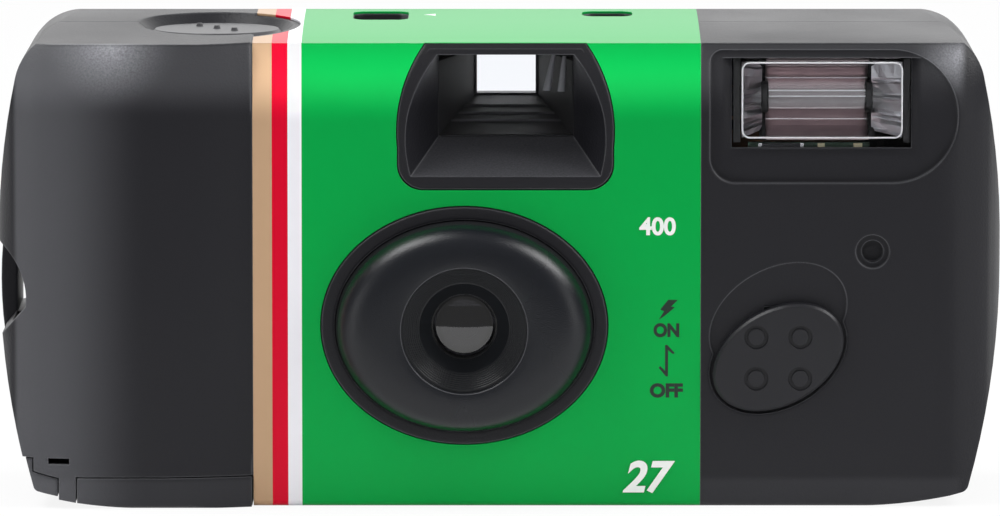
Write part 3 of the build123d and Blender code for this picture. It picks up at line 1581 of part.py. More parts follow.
# Battery, its spring plates, and the flash circuit
with BuildPart() as battery:
    with Locations((battery_x, battery_y, battery_z)):
        Cylinder(battery_r, battery_length, rotation=(0, 90, 0))
    chamfer(battery.edges().filter_by(GeomType.CIRCLE), nub_length / 2)
    with Locations((battery_x + battery_length / 2 + nub_length / 2, battery_y, battery_z)):
        Cylinder(nub_r, nub_length, rotation=(0, 90, 0))
save(battery.part, "battery")

with BuildPart() as battery_contact_minus:
    block(
        minus_x, minus_x + contact_sheet, battery_y - contact_half, battery_y + contact_half,
        battery_z - contact_half, battery_z + contact_half,
    )
    with Locations((minus_x + contact_sheet, battery_y, battery_z)):
        Cylinder(
            nub_r, contact_gap - running_gap, rotation=(0, 90, 0),
            align=(Align.CENTER, Align.CENTER, Align.MIN),
        )
save(battery_contact_minus.part, "battery_contact_minus")

with BuildPart() as battery_contact_plus:
    block(
        plus_x, plus_x + contact_sheet, battery_y - contact_half, battery_y + contact_half,
        battery_z - contact_half, battery_z + contact_half,
    )
    with Locations((plus_x, battery_y, battery_z)):
        Cylinder(
            nub_r / 2, contact_gap - running_gap, rotation=(0, 90, 0),
            align=(Align.CENTER, Align.CENTER, Align.MAX),
        )
save(battery_contact_plus.part, "battery_contact_plus")

board_y = -9.45
board_thickness = 0.7
board_left = 8.5
board_right = 40.4
board_low = 14.0
board_high = 34.0
board_tab_drop = 0.4
board_tab_top = window_base - board_tab_drop
board_gap = 0.1
capacitor_y = 2.0
capacitor_r = 4.6
capacitor_low = 9.0
capacitor_height = 28.0
capacitor_edge = 0.5
capacitor_end = 7.8
transformer_x = 9.4
transformer_width = 8.0
transformer_z = 20.0
transformer_height = 9.0
coil_r = 2.2
coil_height = 8.0
coil_x = 12.0
coil_z = 14.6
tab_left = window_left + window_corner_r

with BuildPart() as flash_board:
    block(board_left, board_right, board_y, board_y + board_thickness, board_low, board_high)
    block(tab_left, board_right, board_y, board_y + board_thickness, board_high, board_tab_top)
save(flash_board.part, "flash_board")

# Wiper beside the slider of the switch
wiper_x = switch_x + slider_half_width + running_gap
wiper_sheet = 0.4
wiper_low = 19.0
wiper_high = 24.0
wiper_foot = 2.0

with BuildPart() as switch_contact:
    block(wiper_x, wiper_x + wiper_sheet, slider_y, board_y, wiper_low, wiper_high)
    block(wiper_x, wiper_x + wiper_foot, board_y - wiper_sheet, board_y, wiper_low, wiper_high)
save(switch_contact.part, "switch_contact")

capacitor_x = body_width / 2 - capacitor_end
with BuildPart() as flash_capacitor:
    post(capacitor_x, capacitor_y, capacitor_low, capacitor_low + capacitor_height, capacitor_r)
    chamfer(flash_capacitor.edges().filter_by(GeomType.CIRCLE), capacitor_edge)
save(flash_capacitor.part, "flash_capacitor")

transformer_y = board_y + board_thickness + board_gap
with BuildPart() as transformer:
    block(
        transformer_x, transformer_x + transformer_width, transformer_y,
        transformer_y + transformer_width - web_thickness, transformer_z,
        transformer_z + transformer_height,
    )
    fillet(transformer.edges().filter_by(Axis.Z), web_thickness / 2)
save(transformer.part, "transformer")

with BuildPart() as trigger_coil:
    with Locations((coil_x + coil_height / 2, transformer_y + coil_r, coil_z + coil_r)):
        Cylinder(coil_r, coil_height, rotation=(0, 90, 0))
save(trigger_coil.part, "trigger_coil")
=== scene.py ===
# %% [markdown]
# # A disposable film camera, lit for a catalogue picture
# The camera is a black moulded case in two shells with a printed card sleeve round its middle.
# Its solids were made in a CAD tool and come in as a fixed frame, so nothing here moves or scales
# them: each gets a finish, and the small things that a mould or a printer adds are made as meshes.
# All lengths are in metres. +X is to the right seen from the front, +Z is up, the lens faces -Y.

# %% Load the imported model
import math
import random

import bmesh
import bpy
from mathutils import Matrix, Vector
from mathutils.bvhtree import BVHTree


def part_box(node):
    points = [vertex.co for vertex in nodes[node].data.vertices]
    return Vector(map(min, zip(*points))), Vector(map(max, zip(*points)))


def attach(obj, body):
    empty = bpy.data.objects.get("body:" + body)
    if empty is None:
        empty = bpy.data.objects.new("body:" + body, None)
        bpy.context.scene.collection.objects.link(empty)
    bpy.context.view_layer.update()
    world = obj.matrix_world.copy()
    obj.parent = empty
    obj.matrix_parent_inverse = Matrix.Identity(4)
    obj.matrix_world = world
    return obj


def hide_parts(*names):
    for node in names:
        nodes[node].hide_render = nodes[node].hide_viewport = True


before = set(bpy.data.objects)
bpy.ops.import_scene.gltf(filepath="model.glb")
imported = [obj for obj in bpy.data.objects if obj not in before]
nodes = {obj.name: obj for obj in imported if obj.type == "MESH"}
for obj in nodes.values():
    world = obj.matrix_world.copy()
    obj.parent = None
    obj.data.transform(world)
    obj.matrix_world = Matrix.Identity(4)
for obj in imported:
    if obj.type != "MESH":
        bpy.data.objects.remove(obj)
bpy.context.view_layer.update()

MM = 0.001

# %% [markdown]
# ## The camera that takes the picture
# The real picture was taken with a long lens from a little above. A long focal length keeps the
# front of the case nearly flat in the picture; a short one would make the lens dome bulge.
# The tilt is read from the ovals that circles turn into, and the focal length from the width.

# %% Viewpoint
view_distance = 1.0
view_elevation = math.radians(6.5)
target = Vector((0, 0, 0.0261))
eye = bpy.data.cameras.new("viewpoint")
eye.lens = 325.8
viewpoint = bpy.data.objects.new("viewpoint", eye)
towards_eye = Vector((0, -math.cos(view_elevation), math.sin(view_elevation)))
viewpoint.location = target + view_distance * towards_eye
viewpoint.rotation_euler = (math.pi / 2 - view_elevation, 0, 0)
bpy.context.scene.collection.objects.link(viewpoint)
bpy.context.scene.camera = viewpoint
print("viewpoint", tuple(round(v, 3) for v in viewpoint.location))

# %% [markdown]
# ## The white table
# The camera stands on a white table that ends a hand's width in front of it. That edge keeps the
# front of the case dark and leaves only a low crescent of light in the lens. A wall far behind
# carries the white on upwards. Under soft lamps plain white paint comes out grey, and brighter
# lamps would flatten the black case. So the paint is mixed with a glow by the kind of ray: the
# camera, gloss and glass see it nearly pure white, with its shadow kept, while the light that it
# scatters onto the case stays that of paint.

# %% Table and wall
bpy.context.scene.view_settings.view_transform = "Standard"
floor_half, floor_front = 4.0, 0.15
wall_y, wall_height = 3.2, 5.0
glow_share = 0.88


def add_node(kind, tree, **settings):
    """Adds a node to a tree and sets its plain properties."""
    node = tree.nodes.new(kind)
    for key, value in settings.items():
        setattr(node, key, value)
    return node


def math_node(tree, operation, first, second):
    """One sum; each side is a number or another node's output."""
    node = add_node("ShaderNodeMath", tree, operation=operation)
    for socket, side in zip(node.inputs, (first, second)):
        if isinstance(side, (int, float)):
            socket.default_value = side
        else:
            tree.links.new(side, socket)
    return node.outputs[0]


def seen_directly(tree):
    """1 for rays from the camera, from gloss and through glass, 0 for scattered ones."""
    path = add_node("ShaderNodeLightPath", tree)
    seen = math_node(tree, "MAXIMUM", path.outputs["Is Camera Ray"], path.outputs["Is Glossy Ray"])
    return math_node(tree, "MAXIMUM", seen, path.outputs["Is Transmission Ray"])


floor_mesh = bpy.data.meshes.new("floor")
floor_mesh.from_pydata(
    [(-floor_half, -floor_front, 0), (floor_half, -floor_front, 0), (floor_half, wall_y, 0),
     (-floor_half, wall_y, 0), (floor_half, wall_y, wall_height), (-floor_half, wall_y, wall_height)],
    [], [(0, 1, 2, 3), (3, 2, 4, 5)],
)
floor = bpy.data.objects.new("floor", floor_mesh)
bpy.context.scene.collection.objects.link(floor)
paint = bpy.data.materials.new("floor_paint")
paint.use_nodes = True
tree = paint.node_tree
tree.nodes.clear()
matt = add_node("ShaderNodeBsdfDiffuse", tree)
matt.inputs["Color"].default_value = (0.86, 0.86, 0.87, 1)
glow = add_node("ShaderNodeEmission", tree)
blend_in = add_node("ShaderNodeMixShader", tree)
end = add_node("ShaderNodeOutputMaterial", tree)
share = math_node(tree, "MULTIPLY", seen_directly(tree), glow_share)
tree.links.new(share, blend_in.inputs["Fac"])
tree.links.new(matt.outputs[0], blend_in.inputs[1])
tree.links.new(glow.outputs[0], blend_in.inputs[2])
tree.links.new(blend_in.outputs[0], end.inputs[0])
floor.data.materials.append(paint)
print("table ends", floor_front, "in front, wall", wall_y, "behind")

# %% [markdown]
# ## The room and its lamps
# The room could come from a picture of a studio, but here each highlight has a known place, so
# soft panels do it better. The two highlights on the lens dome tell where the main lamps were:
# mirrored about the dome's normal there, the sight line ends at two panels high on the left and
# on the right. Two tall strips beside the camera draw the soft bands down the dome's sides. A wide
# one in front only fills, out of the reflections, and one behind puts the pale sheen on the roof,
# which is seen very flat. The room beyond is white for the camera and dim as a light.

# %% Room and panels
room_seen, room_light = 1.0, 0.25
case_middle = Vector((0, 0, 0.03))
world = bpy.data.worlds.new("room")
bpy.context.scene.world = world
world.use_nodes = True
tree = world.node_tree
background = tree.nodes["Background"]
background.inputs["Color"].default_value = (1, 1, 1, 1)
only_camera = add_node("ShaderNodeLightPath", tree)
room_level = add_node("ShaderNodeMath", tree, operation="MULTIPLY_ADD")
tree.links.new(only_camera.outputs["Is Camera Ray"], room_level.inputs[0])
room_level.inputs[1].default_value = room_seen - room_light
room_level.inputs[2].default_value = room_light
tree.links.new(room_level.outputs[0], background.inputs["Strength"])


def panel(name, place, width, height, power, mirrored=True):
    """A rectangular soft light that faces the case; it can be kept out of reflections."""
    lamp = bpy.data.lights.new(name, "AREA")
    lamp.shape, lamp.size, lamp.size_y, lamp.energy = "RECTANGLE", width, height, power
    holder = bpy.data.objects.new(name, lamp)
    holder.location = place
    holder.rotation_euler = (case_middle - Vector(place)).to_track_quat("-Z", "Y").to_euler()
    holder.visible_glossy = mirrored
    bpy.context.scene.collection.objects.link(holder)


panel("high_left", (-0.42, -0.04, 0.78), 0.46, 0.40, 5.4)
panel("high_right", (0.60, -0.08, 0.64), 0.46, 0.40, 5.4)
panel("front", (0.0, -0.95, 0.62), 1.2, 0.6, 3.7, mirrored=False)
panel("side_left", (-0.85, -0.50, 0.16), 0.25, 0.5, 0.9)
panel("side_right", (0.85, -0.50, 0.16), 0.25, 0.5, 0.9)
panel("behind", (0.0, 1.0, 0.45), 1.2, 0.4, 2.5)

# %% [markdown]
# ## How a finish is built
# Each finish starts from one Principled shader. What is the same all over is set on its sockets.
# What varies, such as moulded grain, print or scuffs, comes from textures that read the object's
# own coordinates, which are metres here, so the scale of a texture is a real size. Painted
# pictures would do it too, but noise has no seams and needs no unwrapping.

# %% A finish and its textures
drift_ends = (0.3, 0.7)


def finish(name, colour, roughness, **sockets):
    """A material with its Principled shader's sockets set."""
    made = bpy.data.materials.new(name)
    made.use_nodes = True
    shader = made.node_tree.nodes["Principled BSDF"]
    shader.inputs["Base Color"].default_value = (*colour, 1)
    shader.inputs["Roughness"].default_value = roughness
    for key, value in sockets.items():
        shader.inputs[key.replace("_", " ")].default_value = value
    made.diffuse_color = (*colour, 1)
    return made


def place_noise(made, scale, detail=3.0, seed=0.0):
    """Noise texture in the object's own metres."""
    tree = made.node_tree
    place = add_node("ShaderNodeTexCoord", tree)
    noise = add_node("ShaderNodeTexNoise", tree, noise_dimensions="4D")
    noise.inputs["Scale"].default_value = scale
    noise.inputs["Detail"].default_value = detail
    noise.inputs["W"].default_value = seed
    tree.links.new(place.outputs["Object"], noise.inputs["Vector"])
    return noise.outputs["Fac"]


def ramp(made, source, stops, interpolation="LINEAR"):
    """Colours picked by a number."""
    tree = made.node_tree
    band = add_node("ShaderNodeValToRGB", tree)
    band.color_ramp.interpolation = interpolation
    while len(band.color_ramp.elements) < len(stops):
        band.color_ramp.elements.new(0.5)
    for element, (at, colour) in zip(band.color_ramp.elements, stops):
        element.position = at
        element.color = (*colour, 1)
    tree.links.new(source, band.inputs["Fac"])
    return band.outputs["Color"]


def varied(made, socket, scale, low, high, seed=0.0):
    """A socket that drifts between two colours or two numbers over the surface."""
    colours = [(value,) * 3 if isinstance(value, float) else value for value in (low, high)]
    drift = ramp(made, place_noise(made, scale, seed=seed), list(zip(drift_ends, colours)))
    made.node_tree.links.new(drift, made.node_tree.nodes["Principled BSDF"].inputs[socket])


print("noise drifts between", drift_ends)

# %% [markdown]
# ## Relief, soft edges and the brow
# Grain is a bump: it tilts the normal and leaves the mesh as it is, which is all that a relief of
# hundredths of a millimetre needs. Below it a Bevel node rounds every edge by a hair. The top of
# the front is a soft brow whose faces are flat in the solids. More faces could round it, but a
# second bump, a slope that grows with height, bends the light there just as well.

# %% Relief
brow_low, brow_high, brow_lean = 43.2 * MM, 50.9 * MM, math.radians(32)


def chain(tree, operation, *terms):
    """Terms joined one after another by the same operation."""
    so_far = terms[0]
    for term in terms[1:]:
        so_far = math_node(tree, operation, so_far, term)
    return so_far


def product(tree, *factors):
    """All factors multiplied."""
    return chain(tree, "MULTIPLY", *factors)


def coordinates(tree):
    """X, Y and Z of the place that is shaded, in the object's own metres."""
    place = add_node("ShaderNodeTexCoord", tree)
    split = add_node("ShaderNodeSeparateXYZ", tree)
    tree.links.new(place.outputs["Object"], split.inputs[0])
    return split.outputs


def brow_bump(tree):
    """Bends the normal of a face back more and more up the brow."""
    capped = math_node(tree, "MINIMUM", coordinates(tree)["Z"], brow_high)
    rise = math_node(tree, "MAXIMUM", math_node(tree, "SUBTRACT", capped, brow_low), 0.0)
    slope = -math.tan(brow_lean) / (2 * (brow_high - brow_low))
    bump = add_node("ShaderNodeBump", tree)
    bump.inputs["Distance"].default_value = 1.0
    tree.links.new(product(tree, rise, rise, slope), bump.inputs["Height"])
    return bump


def grain(made, scale, depth, edge=0.0, seed=0.0, brow=False):
    """Fine relief all over, over edges that are rounded by a hair."""
    tree = made.node_tree
    bump = add_node("ShaderNodeBump", tree)
    bump.inputs["Strength"].default_value = 1.0
    bump.inputs["Distance"].default_value = depth
    tree.links.new(place_noise(made, scale, seed=seed), bump.inputs["Height"])
    if edge:
        soft_edge = add_node("ShaderNodeBevel", tree, samples=6)
        soft_edge.inputs["Radius"].default_value = edge
        under = soft_edge.outputs["Normal"]
        if brow:
            bent = brow_bump(tree)
            tree.links.new(under, bent.inputs["Normal"])
            under = bent.outputs["Normal"]
        tree.links.new(under, bump.inputs["Normal"])
    tree.links.new(bump.outputs["Normal"], tree.nodes["Principled BSDF"].inputs["Normal"])


print("brow from", round(brow_low / MM, 1), "to", round(brow_high / MM, 1), "mm up")

# %% [markdown]
# ## The black case
# The case is moulded in styrene with a fine spark-eroded grain, which makes its highlights wide
# and dull. Two noises are enough: a fine one as relief for the grain, and a broad one that lets
# the gloss drift a little from handling. The real front rolls back softly at its top and at its
# left end, where it catches the overhead light; here that light is painted, by mixing the same
# black lighter in those zones. Smooth steps along X, Y and Z, given in millimetres, mark those zones.

# %% Case finish and the tools for its zones
# The second colour is painted light, mixed into the black in the zones below.
case_colour, painted_light_colour = (0.012, 0.012, 0.015), (0.92, 0.93, 1.0)
case_black = finish("case_black", case_colour, 0.42, Specular_IOR_Level=0.25)
grain(case_black, 3800.0, 0.00004, edge=0.0005, brow=True)
varied(case_black, "Roughness", 60.0, 0.40, 0.48)


def total(tree, *terms):
    """All terms added."""
    return chain(tree, "ADD", *terms)


def ease(tree, value, start, end):
    """0 before the first number, 1 after the second, a soft curve between."""
    node = add_node("ShaderNodeMapRange", tree, interpolation_type="SMOOTHSTEP")
    limits = (start, end, 0.0, 1.0) if start < end else (end, start, 1.0, 0.0)
    for socket, limit in zip(("From Min", "From Max", "To Min", "To Max"), limits):
        node.inputs[socket].default_value = limit
    tree.links.new(value, node.inputs["Value"])
    return node.outputs["Result"]


def zone(tree, at, *steps):
    """1 where all steps are past; a step is an axis and the two places where it starts and ends."""
    return product(tree, *(ease(tree, at[axis], a * MM, b * MM) for axis, a, b in steps))


def spot(tree, at, x, z, wide, high):
    """1 at a place on the front, falling softly to 0 at an ellipse round it."""
    across = math_node(tree, "DIVIDE", math_node(tree, "SUBTRACT", at["X"], x * MM), wide * MM)
    up = math_node(tree, "DIVIDE", math_node(tree, "SUBTRACT", at["Z"], z * MM), high * MM)
    squares = total(tree, product(tree, across, across), product(tree, up, up))
    inside = math_node(tree, "SUBTRACT", 1.0, math_node(tree, "SQRT", squares, 0.0))
    near = math_node(tree, "MAXIMUM", inside, 0.0)
    return product(tree, near, near)


print("case finish", case_black.name, "colour", case_colour)

# %% [markdown]
# ## Where light is painted on the case
# Five zones of the front get painted light: the brow on both sides of the finder's hood, the left
# end, the foot, and a painted highlight at each upper corner, speckled with painted glints. So do
# ledges that face up, lit from above, and the upper cheeks that face sideways inside the hood.
# Last, a bevelled normal is set against the plain one: they differ only at folds, whose rounded
# edges get a painted highlight. Paint laid on by hand would be lost when the mesh changes, while
# sums of soft steps stay where they are. Their total mixes the black with a pale painted light.

# %% Zones of painted light on the case
front_steps = (("Y", -10.5, -11.2), ("Z", 51.0, 50.85))
hood_steps = (("X", -11.8, -11.6), ("X", 13.0, 12.8), ("Z", 34.0, 35.0), ("Y", -16.5, -16.0))
# How much painted light each zone of the case gets; at the corners it is a painted highlight.
brow_light, end_light, foot_light, corner_highlight = 0.040, 0.062, 0.012, 0.36
ledge_light, cheek_light, fold_highlight, fold_r = 0.035, 0.06, 0.075, 0.22 * MM
glint_floor, glint_gain = 0.1, 1.8

tree = case_black.node_tree
at = coordinates(tree)
facing = add_node("ShaderNodeNewGeometry", tree)
normal = add_node("ShaderNodeSeparateXYZ", tree)
tree.links.new(facing.outputs["Normal"], normal.inputs[0])
# Noise that speckles the painted highlights with painted glints.
glints = product(tree, place_noise(case_black, 5200.0, 2.0, seed=1.5), glint_gain)
glints = total(tree, glint_floor, glints)

beside_hood = total(tree, zone(tree, at, ("X", -13.0, -14.0)), zone(tree, at, ("X", 14.0, 15.0)))
# Painted light on the front: brow, left end, foot, and a painted highlight at each upper corner.
painted_front_light = [
    product(tree, zone(tree, at, ("Z", 42.8, 47.5)), beside_hood, brow_light),
    product(tree, zone(tree, at, ("X", -38.5, -50.0)), end_light),
    product(tree, zone(tree, at, ("Z", 3.6, 2.6)), foot_light),
    product(tree, spot(tree, at, -42.5, 51.5, 8.2, 8.2), glints, corner_highlight),
    product(tree, spot(tree, at, 50.2, 49.7, 6.0, 5.0), glints, corner_highlight),
]
on_front = product(tree, total(tree, *painted_front_light), zone(tree, at, *front_steps))

# Painted light inside the hood: ledges that face up, lit from above, and the upper cheeks that face
# sideways.
faces_up = ease(tree, normal.outputs["Z"], 0.2, 0.5)
faces_aside = ease(tree, math_node(tree, "ABSOLUTE", normal.outputs["X"], 0.0), 0.3, 0.6)
ledges = product(tree, faces_up, ledge_light, glints)
cheeks = product(tree, zone(tree, at, ("Z", 43.5, 49.0)), faces_aside, cheek_light)
in_hood = product(tree, zone(tree, at, *hood_steps), total(tree, ledges, cheeks))

# A painted highlight along folds, where the bevelled normal turns away from the plain one.
round_edge = add_node("ShaderNodeBevel", tree, samples=8)
round_edge.inputs["Radius"].default_value = fold_r
turned = add_node("ShaderNodeVectorMath", tree, operation="DOT_PRODUCT")
tree.links.new(round_edge.outputs["Normal"], turned.inputs[0])
tree.links.new(facing.outputs["Normal"], turned.inputs[1])
at_folds = product(tree, ease(tree, turned.outputs["Value"], 0.992, 0.90), fold_highlight)

# The total paints light into the black of the case.
light_mix = add_node("ShaderNodeMix", tree, data_type="RGBA")
light_mix.inputs["A"].default_value = (*case_colour, 1)
light_mix.inputs["B"].default_value = (*painted_light_colour, 1)
tree.links.new(total(tree, on_front, total(tree, in_hood, at_folds)), light_mix.inputs["Factor"])
tree.links.new(light_mix.outputs["Result"], tree.nodes["Principled BSDF"].inputs["Base Color"])
print("zones on the front:", len(painted_front_light), "nodes in the case finish:", len(tree.nodes))

# %% [markdown]
# ## The other mouldings
# The lens dome and the knobs come from polished moulds, so they are smoother than the case. The
# dome's steep foot is duller and its fine steps are crisper, and the edge of its lip carries a grey
# painted highlight. The parts inside are plain: dull black for what keeps light out, white for
# the wheels and levers.

# %% Moulded finishes
gloss_black = finish("gloss_black", (0.006, 0.007, 0.010), 0.28, Specular_IOR_Level=0.38)
grain(gloss_black, 7000.0, 0.00003, seed=2.0)
varied(gloss_black, "Roughness", 40.0, 0.26, 0.32, seed=3.0)
foot_black = finish("foot_black", (0.012, 0.012, 0.014), 0.5, Specular_IOR_Level=0.1)
grain(foot_black, 5200.0, 0.00001, seed=33.0)
ring_black = finish("ring_black", (0.011, 0.012, 0.014), 0.28, Specular_IOR_Level=0.3)
grain(ring_black, 3000.0, 0.000003, edge=0.00003, seed=32.0)
# A grey for the line on the lip's edge: a painted highlight.
rim_highlight_grey = finish("rim_highlight_grey", (0.055, 0.056, 0.062), 0.3, Specular_IOR_Level=0.5)
grain(rim_highlight_grey, 3000.0, 0.000003, seed=34.0)

knob_black = finish("knob_black", (0.014, 0.014, 0.017), 0.36, Specular_IOR_Level=0.3)
grain(knob_black, 2200.0, 0.000015, edge=0.00015, seed=4.0)
varied(knob_black, "Roughness", 90.0, 0.34, 0.42, seed=5.0)
button_black = finish("button_black", (0.06, 0.06, 0.065), 0.42, Specular_IOR_Level=0.25)
grain(button_black, 3800.0, 0.00003, edge=0.00015, seed=36.0)

inner_black = finish("inner_black", (0.014, 0.014, 0.015), 0.6)
grain(inner_black, 900.0, 0.00001, edge=0.0001, seed=6.0)
inner_white = finish("inner_white", (0.72, 0.72, 0.69), 0.42)
grain(inner_white, 900.0, 0.00001, edge=0.0001, seed=7.0)
varied(inner_white, "Base Color", 80.0, (0.68, 0.68, 0.64), (0.76, 0.76, 0.73), seed=8.0)
# Pale grey for the clear legs of the finder's front lens: a painted highlight of light from above.
leg_highlight_grey = finish("leg_highlight_grey", (0.34, 0.34, 0.36), 0.25)
grain(leg_highlight_grey, 900.0, 0.000005, seed=35.0)
grey_plastic = finish("grey_plastic", (0.10, 0.10, 0.11), 0.5)
grain(grey_plastic, 900.0, 0.00001, seed=27.0)
print("finishes so far:", len(bpy.data.materials))

# %% [markdown]
# ## The printed sleeve
# The sleeve is coated card, printed with a green ground and three stripes at its left edge. The
# stripes run straight round the case, so the distance along X alone picks the ink: a ramp with
# hard steps does the same as the printing plate. The coat gives it a soft sheen. Where the card
# rolls back under the roof it catches the overhead light, and that light is painted: the inks are
# made almost twice as bright there.

# %% Sleeve print
sleeve_low, sleeve_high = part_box("sleeve")
green, tan = (0.0, 0.33, 0.055), (0.47, 0.305, 0.185)
red, white = (0.60, 0.001, 0.022), (0.80, 0.79, 0.83)
stripe_ends = (-24.9 * MM, -23.3 * MM, -21.8 * MM)
# The gain is painted light on the inks of the brow; the cap keeps them below white.
brow_light_gain, ink_cap = 0.80, (0.90, 0.90, 0.91)

printed_card = finish("printed_card", green, 0.34, Specular_IOR_Level=0.12)
tree = printed_card.node_tree
at = coordinates(tree)
along = add_node("ShaderNodeMapRange", tree)
along.inputs["From Min"].default_value = sleeve_low.x
along.inputs["From Max"].default_value = sleeve_high.x
tree.links.new(at["X"], along.inputs["Value"])
ends = [(x - sleeve_low.x) / (sleeve_high.x - sleeve_low.x) for x in stripe_ends]
inks = list(zip([0.0] + ends, (tan, red, white, green)))
ink = ramp(printed_card, along.outputs["Result"], inks, "CONSTANT")
brighter = add_node("ShaderNodeVectorMath", tree, operation="SCALE")
below_cap = add_node("ShaderNodeVectorMath", tree, operation="MINIMUM")
below_cap.inputs[1].default_value = ink_cap
# The inks are made brighter up the brow: painted light from the overhead lamps.
on_brow = zone(tree, at, ("Z", 42.0, 47.8), *front_steps)
tree.links.new(ink, brighter.inputs[0])
tree.links.new(total(tree, 1.0, product(tree, on_brow, brow_light_gain)), brighter.inputs["Scale"])
tree.links.new(brighter.outputs[0], below_cap.inputs[0])
tree.links.new(below_cap.outputs[0], tree.nodes["Principled BSDF"].inputs["Base Color"])
grain(printed_card, 1400.0, 0.000003, edge=0.00012, seed=9.0, brow=True)
print("stripes end at", [round(x, 3) for x in ends], "of the sleeve's width")

# %% [markdown]
# ## Clear parts
# The window and the finder's lenses are clear acrylic, and the tube is glass. Full transmission
# at low roughness makes both. Real acrylic has an index of 1.49. The windows are given less, and
# so a weak reflection: the room behind the viewer was dark when the real picture was taken, while
# the floor here is white up to the horizon. The taking lens is coated and tinted dark, a painted
# shade for the dark inside of the camera, because all that shows in it is a reflection. The wires
# on the tube and the window's bright edge are a dull white: on the wires it is a painted highlight,
# and along the edge it is painted light that stands for light leaving the window.

# %% Clear finishes
clear_plastic = finish("clear_plastic", (0.97, 0.98, 1.0), 0.02, Transmission_Weight=1.0, IOR=1.14)
grain(clear_plastic, 300.0, 0.000002, seed=10.0)
# The lens's dark tint is painted shade for the dark inside of the camera.
shaded_lens = finish(
    "shaded_lens", (0.10, 0.10, 0.12), 0.03, Transmission_Weight=1.0, IOR=1.6, Coat_Weight=0.8,
)
grain(shaded_lens, 200.0, 0.000001, seed=11.0)
tube_glass = finish("tube_glass", (0.97, 0.97, 0.98), 0.03, Transmission_Weight=0.9, IOR=1.47)
grain(tube_glass, 300.0, 0.000004, seed=12.0)
# A white for painted light: the window's bright edge and the highlights on the trigger wires.
highlight_white = finish("highlight_white", (0.85, 0.85, 0.87), 0.3)
grain(highlight_white, 1500.0, 0.00001, seed=30.0)
print("clear finishes:", clear_plastic.name, shaded_lens.name, tube_glass.name, highlight_white.name)

# %% [markdown]
# ## Metals, film and inks
# Bare metal is a Principled shader with Metallic at 1 and a colour that is its reflection. For the
# reason given above, the flash trough's sheet is painted a little darker and pinker than bare
# aluminium: painted shade and a painted warm reflection. The left foil wing is a dimmer copy of
# the foil, a painted shade. Lacquered cans and the cell's wrap are only partly metallic, and
# film, board, windings and inks not at all.

# %% Metal, film and ink finishes
bright_sheet = finish("bright_sheet", (0.80, 0.80, 0.82), 0.14, Metallic=1.0)
grain(bright_sheet, 500.0, 0.00001, edge=0.0001, seed=13.0)
varied(bright_sheet, "Roughness", 120.0, 0.10, 0.24, seed=14.0)
# Darker and pinker than bare aluminium: painted shade and a painted warm reflection.
shaded_trough_sheet = finish("shaded_trough_sheet", (0.44, 0.36, 0.37), 0.3, Metallic=1.0)
grain(shaded_trough_sheet, 400.0, 0.000001, seed=28.0)
varied(shaded_trough_sheet, "Base Color", 400.0, (0.40, 0.33, 0.34), (0.48, 0.39, 0.40), seed=29.0)
foil = finish("foil", (0.93, 0.93, 0.95), 0.32, Metallic=1.0)
grain(foil, 1500.0, 0.00002, seed=23.0)
# A dimmer copy of the foil for the left wing: painted shade.
shaded_foil = finish("shaded_foil", (0.50, 0.50, 0.52), 0.3, Metallic=1.0)
grain(shaded_foil, 1500.0, 0.00002, seed=31.0)
spring_brass = finish("spring_brass", (0.75, 0.62, 0.32), 0.3, Metallic=1.0)
grain(spring_brass, 800.0, 0.000008, seed=15.0)
dark_steel = finish("dark_steel", (0.06, 0.06, 0.065), 0.35, Metallic=1.0)
grain(dark_steel, 1200.0, 0.000006, seed=16.0)
solder = finish("solder", (0.62, 0.56, 0.38), 0.3, Metallic=0.9)
grain(solder, 1500.0, 0.00001, seed=24.0)
cell_wrap = finish("cell_wrap", (0.55, 0.55, 0.58), 0.3, Metallic=0.8)
grain(cell_wrap, 300.0, 0.000005, seed=17.0)
can_steel = finish("can_steel", (0.30, 0.31, 0.33), 0.35, Metallic=0.6)
grain(can_steel, 500.0, 0.000008, seed=18.0)

film_brown = finish("film_brown", (0.19, 0.09, 0.05), 0.22)
grain(film_brown, 250.0, 0.000003, seed=19.0)
board_green = finish("board_green", (0.010, 0.03, 0.018), 0.4)
grain(board_green, 1500.0, 0.00001, seed=20.0)
varied(board_green, "Base Color", 500.0, (0.008, 0.025, 0.014), (0.014, 0.045, 0.024), seed=21.0)
wound_core = finish("wound_core", (0.22, 0.14, 0.06), 0.5)
grain(wound_core, 1800.0, 0.00003, seed=22.0)
dark_ink = finish("dark_ink", (0.006, 0.02, 0.012), 0.4)
varied(dark_ink, "Roughness", 300.0, 0.35, 0.5, seed=25.0)
white_ink = finish("white_ink", (0.80, 0.82, 0.80), 0.4)
varied(white_ink, "Roughness", 300.0, 0.35, 0.5, seed=26.0)
print("finishes in all:", len(bpy.data.materials))

# %% [markdown]
# ## Making new pieces
# Small things that the solids leave plain are built here from points and faces. Ready-made
# cylinders and cubes would need reshaping, while a section carried round or along is exact at
# once. Every new piece rides on the body that carries it, so that it follows when a joint moves.

# %% Helpers for pieces
def carry(name, mesh, made, body, smooth=True):
    """Turns a mesh's faces outwards, dresses it and hands it to a body."""
    shape = bmesh.new()
    shape.from_mesh(mesh)
    bmesh.ops.remove_doubles(shape, verts=shape.verts, dist=0.0000005)
    bmesh.ops.recalc_face_normals(shape, faces=shape.faces)
    shape.to_mesh(mesh)
    shape.free()
    mesh.materials.clear()
    mesh.materials.append(made)
    mesh.polygons.foreach_set("use_smooth", [smooth] * len(mesh.polygons))
    holder = bpy.data.objects.new(name, mesh)
    bpy.context.scene.collection.objects.link(holder)
    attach(holder, body)
    return holder


def piece(name, points, faces, made, body, smooth=True):
    """A mesh with one finish that moves with a body."""
    mesh = bpy.data.meshes.new(name)
    mesh.from_pydata([tuple(point) for point in points], [], faces)
    return carry(name, mesh, made, body, smooth)


